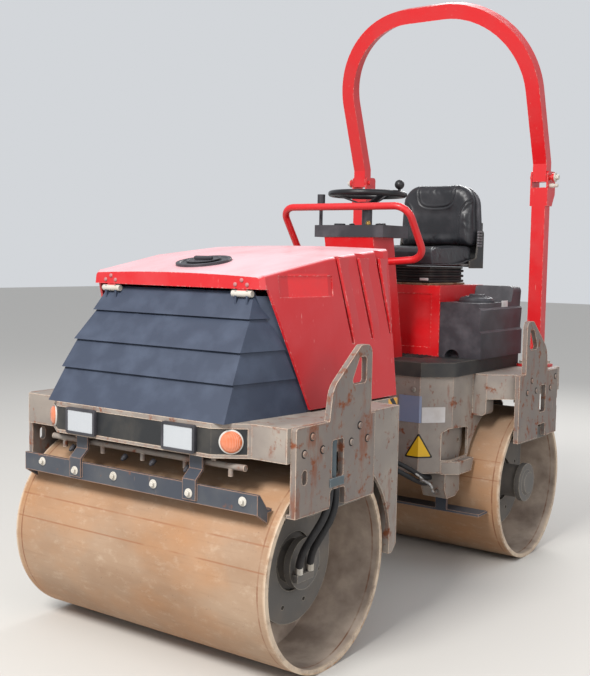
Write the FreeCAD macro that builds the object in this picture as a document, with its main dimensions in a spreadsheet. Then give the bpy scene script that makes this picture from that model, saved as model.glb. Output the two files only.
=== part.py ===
"""Tandem road roller with an articulated frame: parametric model, millimetres.

The machine faces -Y, +X is its left side and +Z is up. The origin is on the ground, under the
steering pivot, halfway between the two drums. The front and rear yokes are mirror images.
"""
import FreeCAD, Part
import math
import os
import Sketcher

doc = FreeCAD.newDocument("road_roller")
sheet = doc.addObject("Spreadsheet::Sheet", "sizes")

# Driving dimensions: alias, value in millimetres or degrees, what it is.
SIZES = (
    ("wheelbase", 1750, "from drum axis to drum axis"),
    ("drum_radius", 360, "outside of the drum shell"),
    ("drum_width", 1200, "rolling width"),
    ("drum_wall", 18, "drum shell thickness"),
    ("disc_inset", 245, "drum end to the end disc inside it"),
    ("disc_wall", 16, "end disc thickness"),
    ("hub_radius", 112, "drum hub on the end disc"),
    ("hub_reach", 60, "hub standing out of the disc"),
    ("shaft_radius", 30, "drive shaft into the hub"),
    ("fit_gap", 0.05, "running gap between a pin and its bore"),
    ("move_gap", 10, "gap between large pieces that turn past each other"),
    ("carrier_inset", 145, "drum end to the outer face of the carrier plate"),
    ("carrier_wall", 16, "carrier plate thickness"),
    ("carrier_radius", 222, "round lower end of the carrier plate"),
    ("carrier_eye", 105, "radius of the hole in the carrier plate"),
    ("carrier_top", 232, "carrier plate top above the drum axis"),
    ("carrier_arm_height", 66, "height of the arm from carrier to side plate"),
    ("carrier_arm_half", 165, "half length of that arm"),
    ("motor_radius", 78, "drum motor housing"),
    ("motor_flange_wall", 12, "motor mounting flange"),
    ("motor_flange_radius", 132, "motor mounting flange radius"),
    ("motor_short", 60, "motor on the hose side, beyond the carrier plate"),
    ("motor_long", 142, "motor on the drive side, beyond the carrier plate"),
    ("plate_gap", 20, "drum end to the side plate"),
    ("plate_wall", 22, "side plate thickness"),
    ("plate_inner", 225, "side plate reach from the drum axis to the middle"),
    ("plate_outer", 252, "side plate reach from the drum axis to the end"),
    ("plate_bottom", 590, "height of the side plate's lower edge"),
    ("frame_top", 885, "height of the frame's top face"),
    ("deck_wall", 14, "deck plate thickness"),
    ("beam_height", 115, "depth of the end beam"),
    ("beam_wall", 12, "plate thickness of the end beam"),
    ("horn_top", 1130, "height of the lifting horn"),
    ("horn_width", 262, "lifting horn at its foot"),
    ("horn_tip", 95, "lifting horn near its tip"),
    ("nose_reach", 360, "drum axis to the straight end of the frame"),
    ("nose_inset", 231, "drum end to the end of that straight part"),
    ("corner_inset", 122, "drum end to where the end beam's corner box starts"),
    ("corner_reach", 282, "drum axis to that corner"),
    ("cheek_half", 500, "half width of the front frame behind the drum"),
    ("cheek_wall", 12, "side wall and bulkhead thickness"),
    ("cheek_bottom", 330, "lower edge of the front frame's side walls"),
    ("bulkhead_gap", 16, "drum to the bulkhead behind it"),
    ("front_tail", 260, "front frame's rear edge ahead of the pivot"),
    ("lug_wall", 30, "steering lug thickness"),
    ("lug_half", 120, "steering lug half width at the bulkhead"),
    ("lug_nose", 88, "steering lug radius round the pin"),
    ("lug_low", 290, "underside of the lower lug"),
    ("lug_high", 600, "underside of the upper lug"),
    ("pin_radius", 35, "steering pin"),
    ("pin_head", 56, "steering pin head radius"),
    ("pin_head_wall", 14, "steering pin head thickness"),
    ("knuckle_radius", 74, "link body round the steering pin"),
    ("swing_height", 460, "height of the oscillation axis"),
    ("swing_radius", 50, "oscillation shaft"),
    ("swing_flange", 118, "oscillation flange radius"),
    ("swing_flange_wall", 22, "oscillation flange thickness"),
    ("box_front", 240, "rear frame's front face behind the pivot"),
    ("box_half", 332, "half width of that front face"),
    ("box_side", 436, "half width of the rear frame's box"),
    ("box_shoulder", 360, "where the box's chamfer ends"),
    ("box_back", 560, "back of the box"),
    ("box_bottom", 470, "underside of the box"),
    ("drum_clear", 30, "frame to drum clearance"),
    ("ram_height", 400, "height of the steering cylinder"),
    ("ram_radius", 32, "steering cylinder barrel"),
    ("rod_radius", 18, "steering cylinder rod"),
    ("ram_eye", 30, "eye radius at both ends of the cylinder"),
    ("ram_eye_height", 66, "eye height"),
    ("ram_pin", 14, "cylinder pin radius"),
    ("ram_foot_side", 260, "cylinder foot pin to the centre plane"),
    ("ram_foot_ahead", 430, "cylinder foot pin ahead of the pivot"),
    ("ram_head_side", 165, "rod pin to the centre plane"),
    ("ram_head_behind", 45, "rod pin behind the pivot"),
    ("ram_tube", 325, "foot pin to the end of the barrel"),
    ("rod_back", 325, "rod pin to the inner end of the rod"),
    ("clevis_wall", 15, "clevis plate thickness"),
    ("hood_front", 1020, "hood lip ahead of the pivot"),
    ("hood_middle", 650, "middle hood section ahead of the pivot"),
    ("hood_back", 262, "hood's rear wall ahead of the pivot"),
    ("hood_gap", 8, "gap under the hood"),
    ("hood_wall", 9, "hood moulding thickness"),
    ("hood_lip", 1316, "height of the lip's lower edge"),
    ("hood_edge_foot", 822, "foot of the hood's raked front edge, ahead of the pivot"),
    ("hood_crease", 15, "rounding between the hood's side and top"),
    ("hood_nose_bevel", 18, "bevel round the hood's front face"),
    ("hood_foot_front", 468, "hood half width at its foot, front section"),
    ("hood_foot_middle", 486, "hood half width at its foot, middle section"),
    ("hood_foot_back", 500, "hood half width at its foot, back section"),
    ("hood_top_front", 402, "hood half width at its shoulder, front section"),
    ("hood_top_middle", 427, "hood half width at its shoulder, middle section"),
    ("hood_top_back", 442, "hood half width at its shoulder, back section"),
    ("hood_rise_front", 50, "shoulder above the lip, front section"),
    ("hood_rise_middle", 112, "shoulder above the lip, middle section"),
    ("hood_rise_back", 150, "shoulder above the lip, back section"),
    ("hood_crown", 9, "crown above the shoulders"),
    ("pleat_first", 622, "first pleat's top ahead of the pivot"),
    ("pleat_step", 130, "from pleat to pleat"),
    ("pleat_lean", 76, "how far a pleat's foot lies behind its top"),
    ("pleat_foot", 1110, "height of the first pleat's foot"),
    ("pleat_rise", 12, "each further foot is higher by this"),
    ("pleat_wide", 62, "pleat width at the top"),
    ("pleat_narrow", 34, "pleat width at the foot"),
    ("pleat_depth", 15, "pleat depth"),
    ("badge_front", 936, "front edge of the blank badge panel, ahead of the pivot"),
    ("badge_back", 642, "rear edge of that panel"),
    ("badge_drop", 28, "lower edge of that panel under the lip"),
    ("badge_rise", 46, "upper edge of that panel above the lip"),
    ("badge_depth", 3, "depth of that panel"),
    ("cap_ahead", 850, "filler cap in the hood, ahead of the pivot"),
    ("cap_radius", 105, "filler cap in the hood"),
    ("cap_proud", 10, "filler cap above the hood"),
    ("grille_wall", 8, "grille moulding thickness"),
    ("grille_back", 790, "grille's rear edge ahead of the pivot"),
    ("grille_step", 13, "overhang of each grille tier"),
    ("grille_top_reach", 990, "grille's top edge ahead of the pivot"),
    ("grille_foot_reach", 1218, "grille's foot ahead of the pivot"),
    ("grille_top_half", 350, "half width of the grille's front at the top"),
    ("grille_foot_half", 414, "half width of the grille's front at its foot"),
    ("grille_spread", 52, "flank's splay from front to back"),
    ("grille_room", 20, "grille thickness with its ribs"),
    ("hood_hinge_ahead", 1012, "hood hinge ahead of the pivot"),
    ("hood_hinge_drop", 16, "hood hinge below the lip"),
    ("hood_hinge_side", 315, "hood hinge to the centre plane"),
    ("hood_hinge_radius", 7, "hood hinge barrel"),
    ("hood_hinge_length", 62, "hood hinge barrel length"),
    ("platform_height", 65, "depth of the operator's floor tray"),
    ("platform_wall", 6, "floor tray plate"),
    ("platform_half", 450, "half width of the floor tray"),
    ("platform_back", 1035, "rear edge of the floor tray"),
    ("seat_box_half", 250, "half width of the seat box"),
    ("seat_box_front", 562, "front of the seat box"),
    ("seat_box_back", 1030, "back of the seat box"),
    ("seat_box_height", 335, "height of the seat box"),
    ("tank_width", 205, "side tank width"),
    ("tank_front", 568, "front of the side tank"),
    ("tank_step", 925, "where the side tank rises"),
    ("tank_low", 258, "height of the side tank's front part"),
    ("tank_high", 334, "height of the side tank's rear part"),
    ("tank_cap_radius", 84, "tank cap"),
    ("post_width", 70, "roll bar tube, across the machine"),
    ("post_depth", 60, "roll bar tube, along the machine"),
    ("post_wall", 6, "roll bar tube wall"),
    ("post_side", 520, "roll bar tube's centre to the centre plane"),
    ("post_back", 1080, "roll bar tube's centre behind the pivot"),
    ("post_under", 50, "top of the lower posts under the hinge"),
    ("hinge_back", 36, "roll bar hinge pin behind the tube"),
    ("hinge_radius", 30, "roll bar hinge lug"),
    ("hoop_rise", 70, "roll bar hinge to where the hoop starts to lean"),
    ("hoop_length", 778, "leaning part of the hoop, to the top's centre line"),
    ("hoop_radius", 420, "hoop corner, on the centre line"),
    ("hoop_lean", 20, "forward lean of the hoop, degrees"),
    ("console_front", 150, "console's front face behind the pivot"),
    ("console_depth", 170, "console column depth"),
    ("console_half", 130, "console column half width"),
    ("panel_half", 182, "instrument panel half width"),
    ("panel_height", 1522, "underside of the instrument panel"),
    ("panel_wall", 54, "instrument panel depth"),
    ("wheel_radius", 168, "steering wheel rim, centre line"),
    ("wheel_rim", 14, "steering wheel rim section"),
    ("wheel_height", 1722, "height of the steering wheel rim"),
    ("wheel_back", 296, "steering wheel centre behind the pivot"),
    ("wheel_tilt", 6, "steering wheel tilt, degrees"),
    ("rail_radius", 16, "hand rail tube"),
    ("rail_half", 335, "hand rail half width"),
    ("rail_height", 1655, "hand rail height"),
    ("rail_back", 84, "hand rail behind the pivot"),
    ("rail_foot", 1430, "hand rail foot height"),
    ("rail_foot_back", 250, "hand rail foot behind the pivot"),
    ("lamp_width", 134, "head lamp"),
    ("lamp_height", 90, "head lamp"),
    ("lamp_inset", 134, "head lamp centre to the end of the nose"),
    ("blinker_radius", 36, "direction indicator"),
    ("scraper_half", 558, "half width of the scrapers"),
    ("scraper_inset", 10, "frame's straight end to the outer scraper bar"),
    ("scraper_low", 607, "lower edge of the outer scraper bar"),
    ("scraper_height", 66, "height of the outer scraper bar"),
    ("scraper_wall", 12, "scraper bar thickness"),
    ("scraper_arm", 275, "scraper arm to the centre plane"),
    ("scraper_arm_width", 58, "scraper arm width"),
    ("spray_inset", 68, "frame's straight end to the spray pipe"),
    ("spray_height", 738, "spray pipe height"),
    ("spray_radius", 11, "spray pipe radius"),
    ("spray_half", 462, "spray pipe half length"),
    ("rear_lift", 20, "rear frame higher than the front frame"),
    ("cup_depth", 120, "depth of the motor's cup in the drum"),
    ("carrier_foot", 40, "flange from the carrier arm up the side plate"),
    ("plate_outer_front", 262, "front side plate, drum axis to its outer end"),
    ("plate_inner_front", 218, "front side plate, drum axis to its inner end"),
    ("plate_outer_rear", 205, "rear side plate, drum axis to its outer end"),
    ("plate_inner_rear", 258, "rear side plate, drum axis to its inner end"),
    ("notch_back", 30, "notch in the side plate's lower edge, inner side"),
    ("notch_front", 62, "notch in the side plate's lower edge, outer side"),
    ("notch_height", 62, "notch height"),
    ("horn_inner", 190, "lifting horn's upright edge to the drum axis"),
    ("horn_rise", 110, "height of the horn's steep part"),
    ("horn_flat", 72, "flat top of the horn"),
    ("eye_margin", 36, "lifting eye to the horn's upright edge"),
    ("eye_rise", 112, "frame top to the lifting eye"),
    ("eye_long", 134, "lifting eye's far lower corner to the upright edge"),
    ("eye_tip", 82, "lifting eye's far upper corner to the upright edge"),
    ("eye_height", 92, "lifting eye height"),
    ("slot_near", -16, "slot in the side plate, inner side of the drum axis"),
    ("slot_far", 54, "slot in the side plate, outer side of the drum axis"),
    ("slot_low", 195, "frame top to the slot's lower edge"),
    ("slot_high", 66, "frame top to the slot's upper edge"),
    ("tail_half", 500, "half width of the front frame's tail"),
    ("tail_low", 700, "lower edge of that tail"),
    ("cheek_flange", 40, "cheek behind the bulkhead"),
    ("cheek_reach", 170, "cheek ahead of the bulkhead"),
    ("cheek_step", 30, "chamfer at the cheek's rear foot"),
    ("cheek_clear", 24, "cheek's curved edge outside the drum's rim"),
    ("gusset_gap", 30, "gusset to the knuckle"),
    ("flange_back", 212, "oscillation flange's rear face behind the pivot"),
    ("swing_length", 130, "oscillation shaft inside the rear box"),
    ("rear_nose_reach", 330, "rear drum axis to the straight end of the frame"),
    ("wing_side", 505, "half width where the rear frame widens"),
    ("wing_back", 650, "where the rear frame reaches its full width"),
    ("box_wall_back", 700, "back of the rear box before the drum is cleared"),
    ("box_face", 20, "front wall of the rear box"),
    ("step_reach", 34, "step outside the rear box"),
    ("step_front", 322, "front of the step"),
    ("step_back", 530, "back of the step"),
    ("step_low", 464, "underside of the step"),
    ("step_high", 522, "top of the step"),
    ("hatch_front", 322, "opening in the box side, front edge"),
    ("hatch_back", 520, "opening in the box side, rear edge"),
    ("hatch_low", 528, "opening in the box side, lower edge"),
    ("hatch_high", 672, "opening in the box side, upper edge"),
    ("liner_side", 395, "plate behind that opening"),
    ("shoe_in", 300, "block under the box, inner side"),
    ("shoe_out", 420, "block under the box, outer side"),
    ("shoe_low", 348, "block under the box, underside"),
    ("bracket_low", 712, "lower end of the bracket beside the box"),
    ("bracket_depth", 78, "bracket beside the box, along the machine"),
    ("lamp_bar_sunk", 3, "lamp bar behind the nose"),
    ("lamp_bar_wall", 8, "lamp bar thickness"),
    ("lamp_bar_margin", 12, "beam's lower edge to the lamp bar"),
    ("lamp_bar_share", 0.9, "how much of the chamfer the lamp bar covers"),
    ("lamp_proud", 14, "head lamp in front of the lamp bar"),
    ("blinker_depth", 22, "direction indicator depth"),
    ("engine_half", 235, "engine block half width"),
    ("engine_front", 880, "engine block front ahead of the pivot"),
    ("engine_rear", 360, "engine block rear ahead of the pivot"),
    ("engine_height", 330, "engine block height"),
    ("scraper_blade_reach", 274, "drum axis to the outer scraper's blade tip"),
    ("spray_hanger", 330, "spray pipe hanger to the centre plane"),
    ("blade_gap", 6, "inner scraper to the drum"),
    ("inner_scraper_half", 550, "half width of the inner scrapers"),
    ("inner_scraper_low", 354, "height of the inner scrapers"),
    ("inner_scraper_depth", 95, "rear inner scraper, along the machine"),
    ("seat_half", 218, "seat half width"),
    ("seat_front", 548, "front of the seat cushion"),
    ("seat_back", 985, "back of the seat cushion"),
    ("seat_slide", 88, "seat suspension height"),
    ("cushion_height", 95, "seat cushion height"),
    ("backrest_front", 965, "backrest's front face"),
    ("backrest_depth", 95, "backrest depth"),
    ("backrest_top", 1812, "top of the backrest"),
    ("tank_cap_height", 24, "tank cap height"),
    ("tank_cap_back", 745, "tank cap behind the pivot"),
    ("console_foot", 110, "console foot behind its top"),
    ("wheel_dish", 70, "steering wheel rim above its hub's underside"),
    ("column_radius", 24, "steering column"),
    ("wheel_hub_radius", 38, "steering wheel hub"),
    ("knob_radius", 22, "knob on the steering wheel"),
    ("lever_radius", 8, "travel lever stem"),
    ("lever_height", 80, "travel lever stem length"),
    ("post_foot", 14, "roll bar post's foot plate"),
    ("cheek_gap", 2, "hinge cheek to the folding hoop"),
    ("hinge_height", 1840, "height of the roll bar hinge"),
    ("hoop_under", 22, "hoop's foot under the hinge"),
    ("hinge_plate", 140, "hinge cheeks down the post"),
    ("knob_reach", 34, "locking knob outside the hinge cheek"),
    ("carrier_bolts", 166, "bolt circle radius of the carrier plate"),
    ("carrier_bolt", 8, "bolt hole radius of the carrier plate"),
    ("motor_ring", 92, "radius of the ring round the motor's end"),
    ("motor_ring_wall", 26, "ring round the motor's end, along it"),
    ("motor_cover", 62, "radius of the motor's end cover"),
    ("plate_lip", 14, "side plate's lower edge, turned in"),
    ("plate_lip_wall", 12, "height of that lip"),
    ("plate_hole_reach", 213, "slotted hole in the side plate, outside the drum axis"),
    ("plate_hole_drop", 166, "frame top to the middle of that hole"),
    ("plate_hole_half", 14, "half width of that hole"),
    ("plate_hole_rise", 24, "half height of that hole"),
    ("nozzle_radius", 9, "spray nozzle"),
    ("nozzle_drop", 34, "spray nozzle under the pipe"),
    ("nozzle_step", 200, "from nozzle to nozzle"),
    ("wing_low", 572, "foot of the scraper's end plate"),
    ("wing_reach", 296, "drum axis to that foot"),
    ("rear_scraper_low", 272, "height of the rear drum's inner scraper"),
    ("rear_scraper_back", 515, "that scraper's edge behind the pivot"),
    ("rail_bend", 66, "hand rail bends"),
    ("tray_lip", 14, "floor tray outside the box"),
    ("tank_rib", 9, "how far each tank rib steps out"),
    ("tank_sink", 12, "recess round the tank cap"),
    ("tank_arch", 38, "arch at the tank's foot"),
)

for row, (alias, value, note) in enumerate(SIZES, start=1):
    sheet.set(f"A{row}", note)
    sheet.set(f"B{row}", str(value))
    sheet.setAlias(f"B{row}", alias)
doc.recompute()


class Size:
    """A number with the formula it comes from, so a piece can be bound to the sheet."""

    def __init__(self, value, text):
        self.value, self.text = value, text

    def combined(self, other, sign, turned=False):
        other = as_size(other)
        first, second = (other, self) if turned else (self, other)
        value = {"+": first.value + second.value, "-": first.value - second.value,
                 "*": first.value * second.value}.get(sign)
        if sign == "/":
            value = first.value / second.value
        return Size(value, f"({first.text} {sign} {second.text})")

    def __add__(self, other):
        return self.combined(other, "+")

    def __radd__(self, other):
        return self.combined(other, "+", True)

    def __sub__(self, other):
        return self.combined(other, "-")

    def __rsub__(self, other):
        return self.combined(other, "-", True)

    def __mul__(self, other):
        return self.combined(other, "*")

    def __rmul__(self, other):
        return self.combined(other, "*", True)

    def __truediv__(self, other):
        return self.combined(other, "/")

    def __neg__(self):
        return Size(-self.value, f"(-1 * {self.text})")


def as_size(number):
    return number if isinstance(number, Size) else Size(float(number), str(number))


class Sizes:
    """The sheet's values by name."""


s = Sizes()
for alias, value, note in SIZES:
    setattr(s, alias, Size(float(sheet.get(alias)), "sizes." + alias))


def bind(piece, prop, number):
    number = as_size(number)
    if "sizes." in number.text:
        piece.setExpression(prop, number.text)
    elif "Placement" in prop:
        base = piece.Placement.Base
        setattr(base, prop[-1], number.value)
        piece.Placement = FreeCAD.Placement(base, piece.Placement.Rotation)
    else:
        setattr(piece, prop, number.value)


def place(piece, x=0, y=0, z=0):
    for axis, number in (("x", x), ("y", y), ("z", z)):
        bind(piece, f"Placement.Base.{axis}", number)
    return piece


def box(name, x, y, z):
    """A block between two planes on each axis."""
    made = doc.addObject("Part::Box", name)
    for side, (low, high) in (("Length", x), ("Width", y), ("Height", z)):
        bind(made, side, as_size(high) - low)
    return place(made, x[0], y[0], z[0])


TURNS = {
    "x": FreeCAD.Rotation(FreeCAD.Vector(0, 1, 0), 90),
    "y": FreeCAD.Rotation(FreeCAD.Vector(1, 0, 0), -90),
    "z": FreeCAD.Rotation(),
}


def rod(name, axis, radius, ends, x=0, y=0, z=0):
    """A cylinder along one axis between two planes on it."""
    made = doc.addObject("Part::Cylinder", name)
    made.Placement = FreeCAD.Placement(FreeCAD.Vector(), TURNS[axis])
    bind(made, "Radius", radius)
    bind(made, "Height", as_size(ends[1]) - ends[0])
    where = {"x": x, "y": y, "z": z}
    where[axis] = ends[0]
    return place(made, **where)


def fuse(name, *shapes):
    if len(shapes) == 1:
        return shapes[0]
    made = doc.addObject("Part::MultiFuse", name)
    made.Shapes = list(shapes)
    made.Refine = True
    return made


def cut(name, base, *tools):
    made = doc.addObject("Part::Cut", name)
    made.Base = base
    made.Tool = fuse(name + "_tools", *tools)
    made.Refine = True
    return made


def mirrored(name, source, axis):
    made = doc.addObject("Part::Mirroring", name)
    made.Source = source
    made.Normal = FreeCAD.Vector(axis == "x", axis == "y", axis == "z")
    return made


PLANES = {"top": "XY_Plane", "side": "YZ_Plane", "front": "XZ_Plane"}
NORMALS = {"top": "z", "side": "x", "front": "y"}


def outline(body, name, view, points):
    """A closed sketch with straight sides, every corner bound to its sizes."""
    plane = next(f for f in body.Origin.OriginFeatures if f.Role == PLANES[view])
    sketch = body.newObject("Sketcher::SketchObject", name)
    sketch.AttachmentSupport = (plane, [""])
    sketch.MapMode = "FlatFace"
    corners = [(as_size(u), as_size(v)) for u, v in points]
    spots = [FreeCAD.Vector(u.value, v.value, 0) for u, v in corners]
    for here, there in zip(spots, spots[1:] + spots[:1]):
        sketch.addGeometry(Part.LineSegment(here, there), False)
    for i in range(len(corners)):
        sketch.addConstraint(Sketcher.Constraint("Coincident", i, 2, (i + 1) % len(corners), 1))
    for i, corner in enumerate(corners):
        for kind, number in zip(("DistanceX", "DistanceY"), corner):
            at = sketch.addConstraint(Sketcher.Constraint(kind, i, 1, number.value))
            if "sizes." in number.text:
                sketch.setExpression(f"Constraints[{at}]", number.text)
    return sketch, spots


def plate(name, view, points, ends, rounds=()):
    """A plate with a straight-sided outline, drawn as (x, y), (y, z) or (x, z).

    ends are its two faces on the view's normal, low first. rounds holds (corner number, radius).
    """
    body = doc.addObject("PartDesign::Body", name)
    sketch, spots = outline(body, name + "_outline", view, points)
    pad = body.newObject("PartDesign::Pad", name + "_pad")
    pad.Profile = sketch
    bind(pad, "Length", as_size(ends[1]) - ends[0])
    pad.Reversed = view == "front"
    body.Tip = pad
    bind(body, "Placement.Base." + NORMALS[view], ends[0])
    for number, (corner, radius) in enumerate(rounds):
        doc.recompute()
        last = body.Tip
        fillet = body.newObject("PartDesign::Fillet", f"{name}_round{number}")
        fillet.Base = (last, [corner_edge(last, view, spots[corner])])
        bind(fillet, "Radius", radius)
        body.Tip = fillet
    return body


def corner_edge(feature, view, corner):
    """The name of the edge that stands on one corner of a plate's outline."""
    u, v = {"top": ("x", "y"), "side": ("y", "z"), "front": ("x", "z")}[view]
    near = []
    for number, edge in enumerate(feature.Shape.Edges, start=1):
        ends = [vertex.Point for vertex in edge.Vertexes]
        if len(ends) == 2:
            miss = sum(abs(getattr(e, u) - corner.x) + abs(getattr(e, v) - corner.y) for e in ends)
            near.append((miss, number))
    return f"Edge{min(near)[1]}"


def turned(name, view, points, about, angle=360):
    """A body of revolution from a profile, about the sketch's own H_Axis or V_Axis."""
    body = doc.addObject("PartDesign::Body", name)
    sketch, spots = outline(body, name + "_profile", view, points)
    spin = body.newObject("PartDesign::Revolution", name + "_spin")
    spin.Profile = sketch
    spin.ReferenceAxis = (sketch, [about])
    spin.Angle = angle
    body.Tip = spin
    return body


def solid_part(name, shape):
    """A piece whose shape neither a sketch nor a primitive fits."""
    made = doc.addObject("Part::Feature", name)
    made.Shape = shape
    return made


nodes = {}


def node(label, piece):
    piece.Label = label
    nodes[label] = piece
    return piece


# Places that several pieces share.
axle = s.wheelbase / 2
drum_end = s.drum_width / 2
plate_in = drum_end + s.plate_gap
plate_out = plate_in + s.plate_wall
skirt_low = s.frame_top - s.beam_height
deck_low = s.frame_top - s.deck_wall
wall_out = plate_in
rear_top = s.frame_top + s.rear_lift
nose_half = drum_end - s.nose_inset
corner_half = drum_end - s.corner_inset
lamp_side = nose_half - s.lamp_inset
post_top = s.hinge_height - s.post_under

# Drums: a shell, a cup for each motor and a hub bore for each shaft.
disc_out = drum_end - s.disc_inset
cup_in = disc_out - s.cup_depth
bore = s.shaft_radius + s.fit_gap
for end, sign in (("front", -1), ("rear", 1)):
    inner = s.drum_radius - s.drum_wall
    profile = [
        (-drum_end, inner), (-disc_out, inner), (-disc_out, s.hub_radius), (-cup_in, s.hub_radius),
        (-cup_in, bore), (-cup_in + s.disc_wall, bore), (-cup_in + s.disc_wall, s.hub_radius + s.disc_wall),
        (-disc_out + s.disc_wall, s.hub_radius + s.disc_wall), (-disc_out + s.disc_wall, inner),
        (disc_out - s.disc_wall, inner), (disc_out - s.disc_wall, s.hub_radius + s.disc_wall),
        (cup_in - s.disc_wall, s.hub_radius + s.disc_wall), (cup_in - s.disc_wall, bore), (cup_in, bore),
        (cup_in, s.hub_radius), (disc_out, s.hub_radius), (disc_out, inner), (drum_end, inner),
        (drum_end, s.drum_radius), (-drum_end, s.drum_radius)]
    drum = turned(f"{end}_drum_body", "front", profile, "H_Axis")
    place(drum, 0, sign * axle, s.drum_radius)
    node(f"{end}_drum", drum)

# Carriers: an arm from the side plate, a plate down to the hub and the motor with its shaft.
carrier_out = drum_end - s.carrier_inset
carrier_in = carrier_out - s.carrier_wall
carrier_high = s.drum_radius + s.carrier_top
arm_low = carrier_high - s.carrier_arm_height
# End of the machine, its sign along it, side, how far the motor stands out of the carrier plate.
CARRIERS = (("front", -1, "left", s.motor_short), ("front", -1, "right", s.motor_long),
            ("rear", 1, "left", s.motor_long), ("rear", 1, "right", s.motor_short))
for end, sign, side, motor in CARRIERS:
    name = f"{end}_{side}_carrier"
    centre = {"y": sign * axle, "z": s.drum_radius}
    disc = rod(name + "_disc", "x", s.carrier_radius, (carrier_in, carrier_out), **centre)
    web = box(name + "_web", (carrier_in, carrier_out),
              (sign * axle - s.carrier_radius, sign * axle + s.carrier_radius),
              (s.drum_radius, carrier_high))
    arm = box(name + "_arm", (carrier_in, plate_in),
              (sign * axle - s.carrier_arm_half, sign * axle + s.carrier_arm_half),
              (carrier_high - s.carrier_wall, carrier_high))
    foot = box(name + "_foot", (plate_in - s.carrier_wall, plate_in),
               (sign * axle - s.carrier_arm_half, sign * axle + s.carrier_arm_half),
               (carrier_high - s.carrier_wall, carrier_high + s.carrier_foot))
    flange = rod(name + "_flange", "x", s.motor_flange_radius,
                 (carrier_in - s.motor_flange_wall, carrier_in), **centre)
    shaft_end = cup_in - s.disc_wall - 4
    room_end = cup_in + s.move_gap
    tip = carrier_out + motor
    ring_low = tip - s.motor_ring_wall - 12
    casing = turned(name + "_motor", "front", [
        (shaft_end, 0), (shaft_end, s.shaft_radius), (room_end, s.shaft_radius), (room_end, s.motor_radius),
        (ring_low, s.motor_radius), (ring_low, s.motor_ring), (tip - 12, s.motor_ring), (tip - 12, s.motor_cover),
        (tip, s.motor_cover - 10), (tip, 0)], "H_Axis")
    place(casing, 0, sign * axle, s.drum_radius)
    holes = [rod(name + "_eye", "x", s.carrier_eye, (carrier_in - 1, carrier_out + 1), **centre)]
    for number in range(8):
        turn = math.radians(22.5 + 45 * number)
        holes.append(rod(f"{name}_bolt_hole{number}", "x", s.carrier_bolt, (carrier_in - 1, carrier_out + 1),
                         y=sign * axle + s.carrier_bolts * round(math.cos(turn), 4),
                         z=s.drum_radius + s.carrier_bolts * round(math.sin(turn), 4)))
    ring = cut(name + "_ring", fuse(name + "_plates", disc, web), *holes)
    whole = fuse(name + "_whole", ring, arm, foot, flange, casing)
    if side == "right":
        whole = mirrored(name + "_mirrored", whole, "x")
    node(name, whole)

# Side plates with their lifting horns. Reach is counted from the drum axis, outward.
PLATE_ENDS = (
    ("front", -1, s.plate_outer_front, s.plate_inner_front, as_size(0)),
    ("rear", 1, s.plate_outer_rear, s.plate_inner_rear, s.rear_lift),
)
for end, sign, outer, inner, lift in PLATE_ENDS:
    top = s.frame_top + lift
    horn = s.horn_top + lift

    def at(reach):
        return sign * (axle + reach)

    horn_in = -(s.horn_inner)
    points = [(at(-inner), s.plate_bottom), (at(-s.notch_back), s.plate_bottom),
              (at(-s.notch_back), s.plate_bottom + s.notch_height),
              (at(s.notch_front), s.plate_bottom + s.notch_height), (at(s.notch_front), s.plate_bottom),
              (at(outer), s.plate_bottom), (at(outer), top), (at(horn_in + s.horn_width), top),
              (at(horn_in + s.horn_width - 18), top + s.horn_rise), (at(horn_in + s.horn_flat), horn),
              (at(horn_in), horn), (at(horn_in), top), (at(-inner), top)]
    body = plate(f"{end}_plate_body", "side", points, (plate_in, plate_out),
                 ((8, 90), (9, 30), (10, 34), (6, 12), (2, 14), (3, 14)))
    eye = plate(f"{end}_eye_body", "side",
                [(at(horn_in + s.eye_margin), top + s.eye_rise), (at(horn_in + s.eye_long), top + s.eye_rise),
                 (at(horn_in + s.eye_tip), top + s.eye_rise + s.eye_height),
                 (at(horn_in + s.eye_margin), top + s.eye_rise + s.eye_height)],
                (plate_in - 1, plate_out + 1), ((0, 14), (1, 14), (2, 14), (3, 14)))
    slot = plate(f"{end}_slot_body", "side",
                 [(at(s.slot_near), top - s.slot_low), (at(s.slot_far), top - s.slot_low),
                  (at(s.slot_far), top - s.slot_high), (at(s.slot_near), top - s.slot_high)],
                 (plate_in - 1, plate_out + 1), ((0, 10), (1, 10), (2, 10), (3, 10)))
    hole_at, hole_z = s.plate_hole_reach, top - s.plate_hole_drop
    hole = plate(f"{end}_plate_hole", "side",
                 [(at(hole_at + dy * s.plate_hole_half), hole_z + dz * s.plate_hole_rise)
                  for dy, dz in ((-1, -1), (1, -1), (1, 1), (-1, 1))],
                 (plate_in - 1, plate_out + 1), [(n, s.plate_hole_half - 1) for n in range(4)])
    lip_ends = sorted((at(s.carrier_arm_half + s.move_gap), at(outer)), key=lambda v: v.value)
    lip = box(f"{end}_plate_lip", (plate_in - s.plate_lip, plate_in + 1), lip_ends,
              (s.plate_bottom, s.plate_bottom + s.plate_lip_wall))
    whole = fuse(f"{end}_left_plate_whole", cut(f"{end}_left_plate", body, eye, slot, hole), lip)
    node(f"{end}_left_side_plate", whole)
    node(f"{end}_right_side_plate", mirrored(f"{end}_right_plate", whole, "x"))

# Front frame: a deck with a skirt, cheeks and a bulkhead behind the drum, a tail and two lugs.
def y_front(reach):
    return -(axle + reach)


nose = y_front(s.nose_reach)
corner = y_front(s.corner_reach)
bulk_front = -(axle - s.drum_radius - s.bulkhead_gap)
bulk_back = bulk_front + s.cheek_wall
cheek_back = bulk_back + s.cheek_flange


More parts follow.
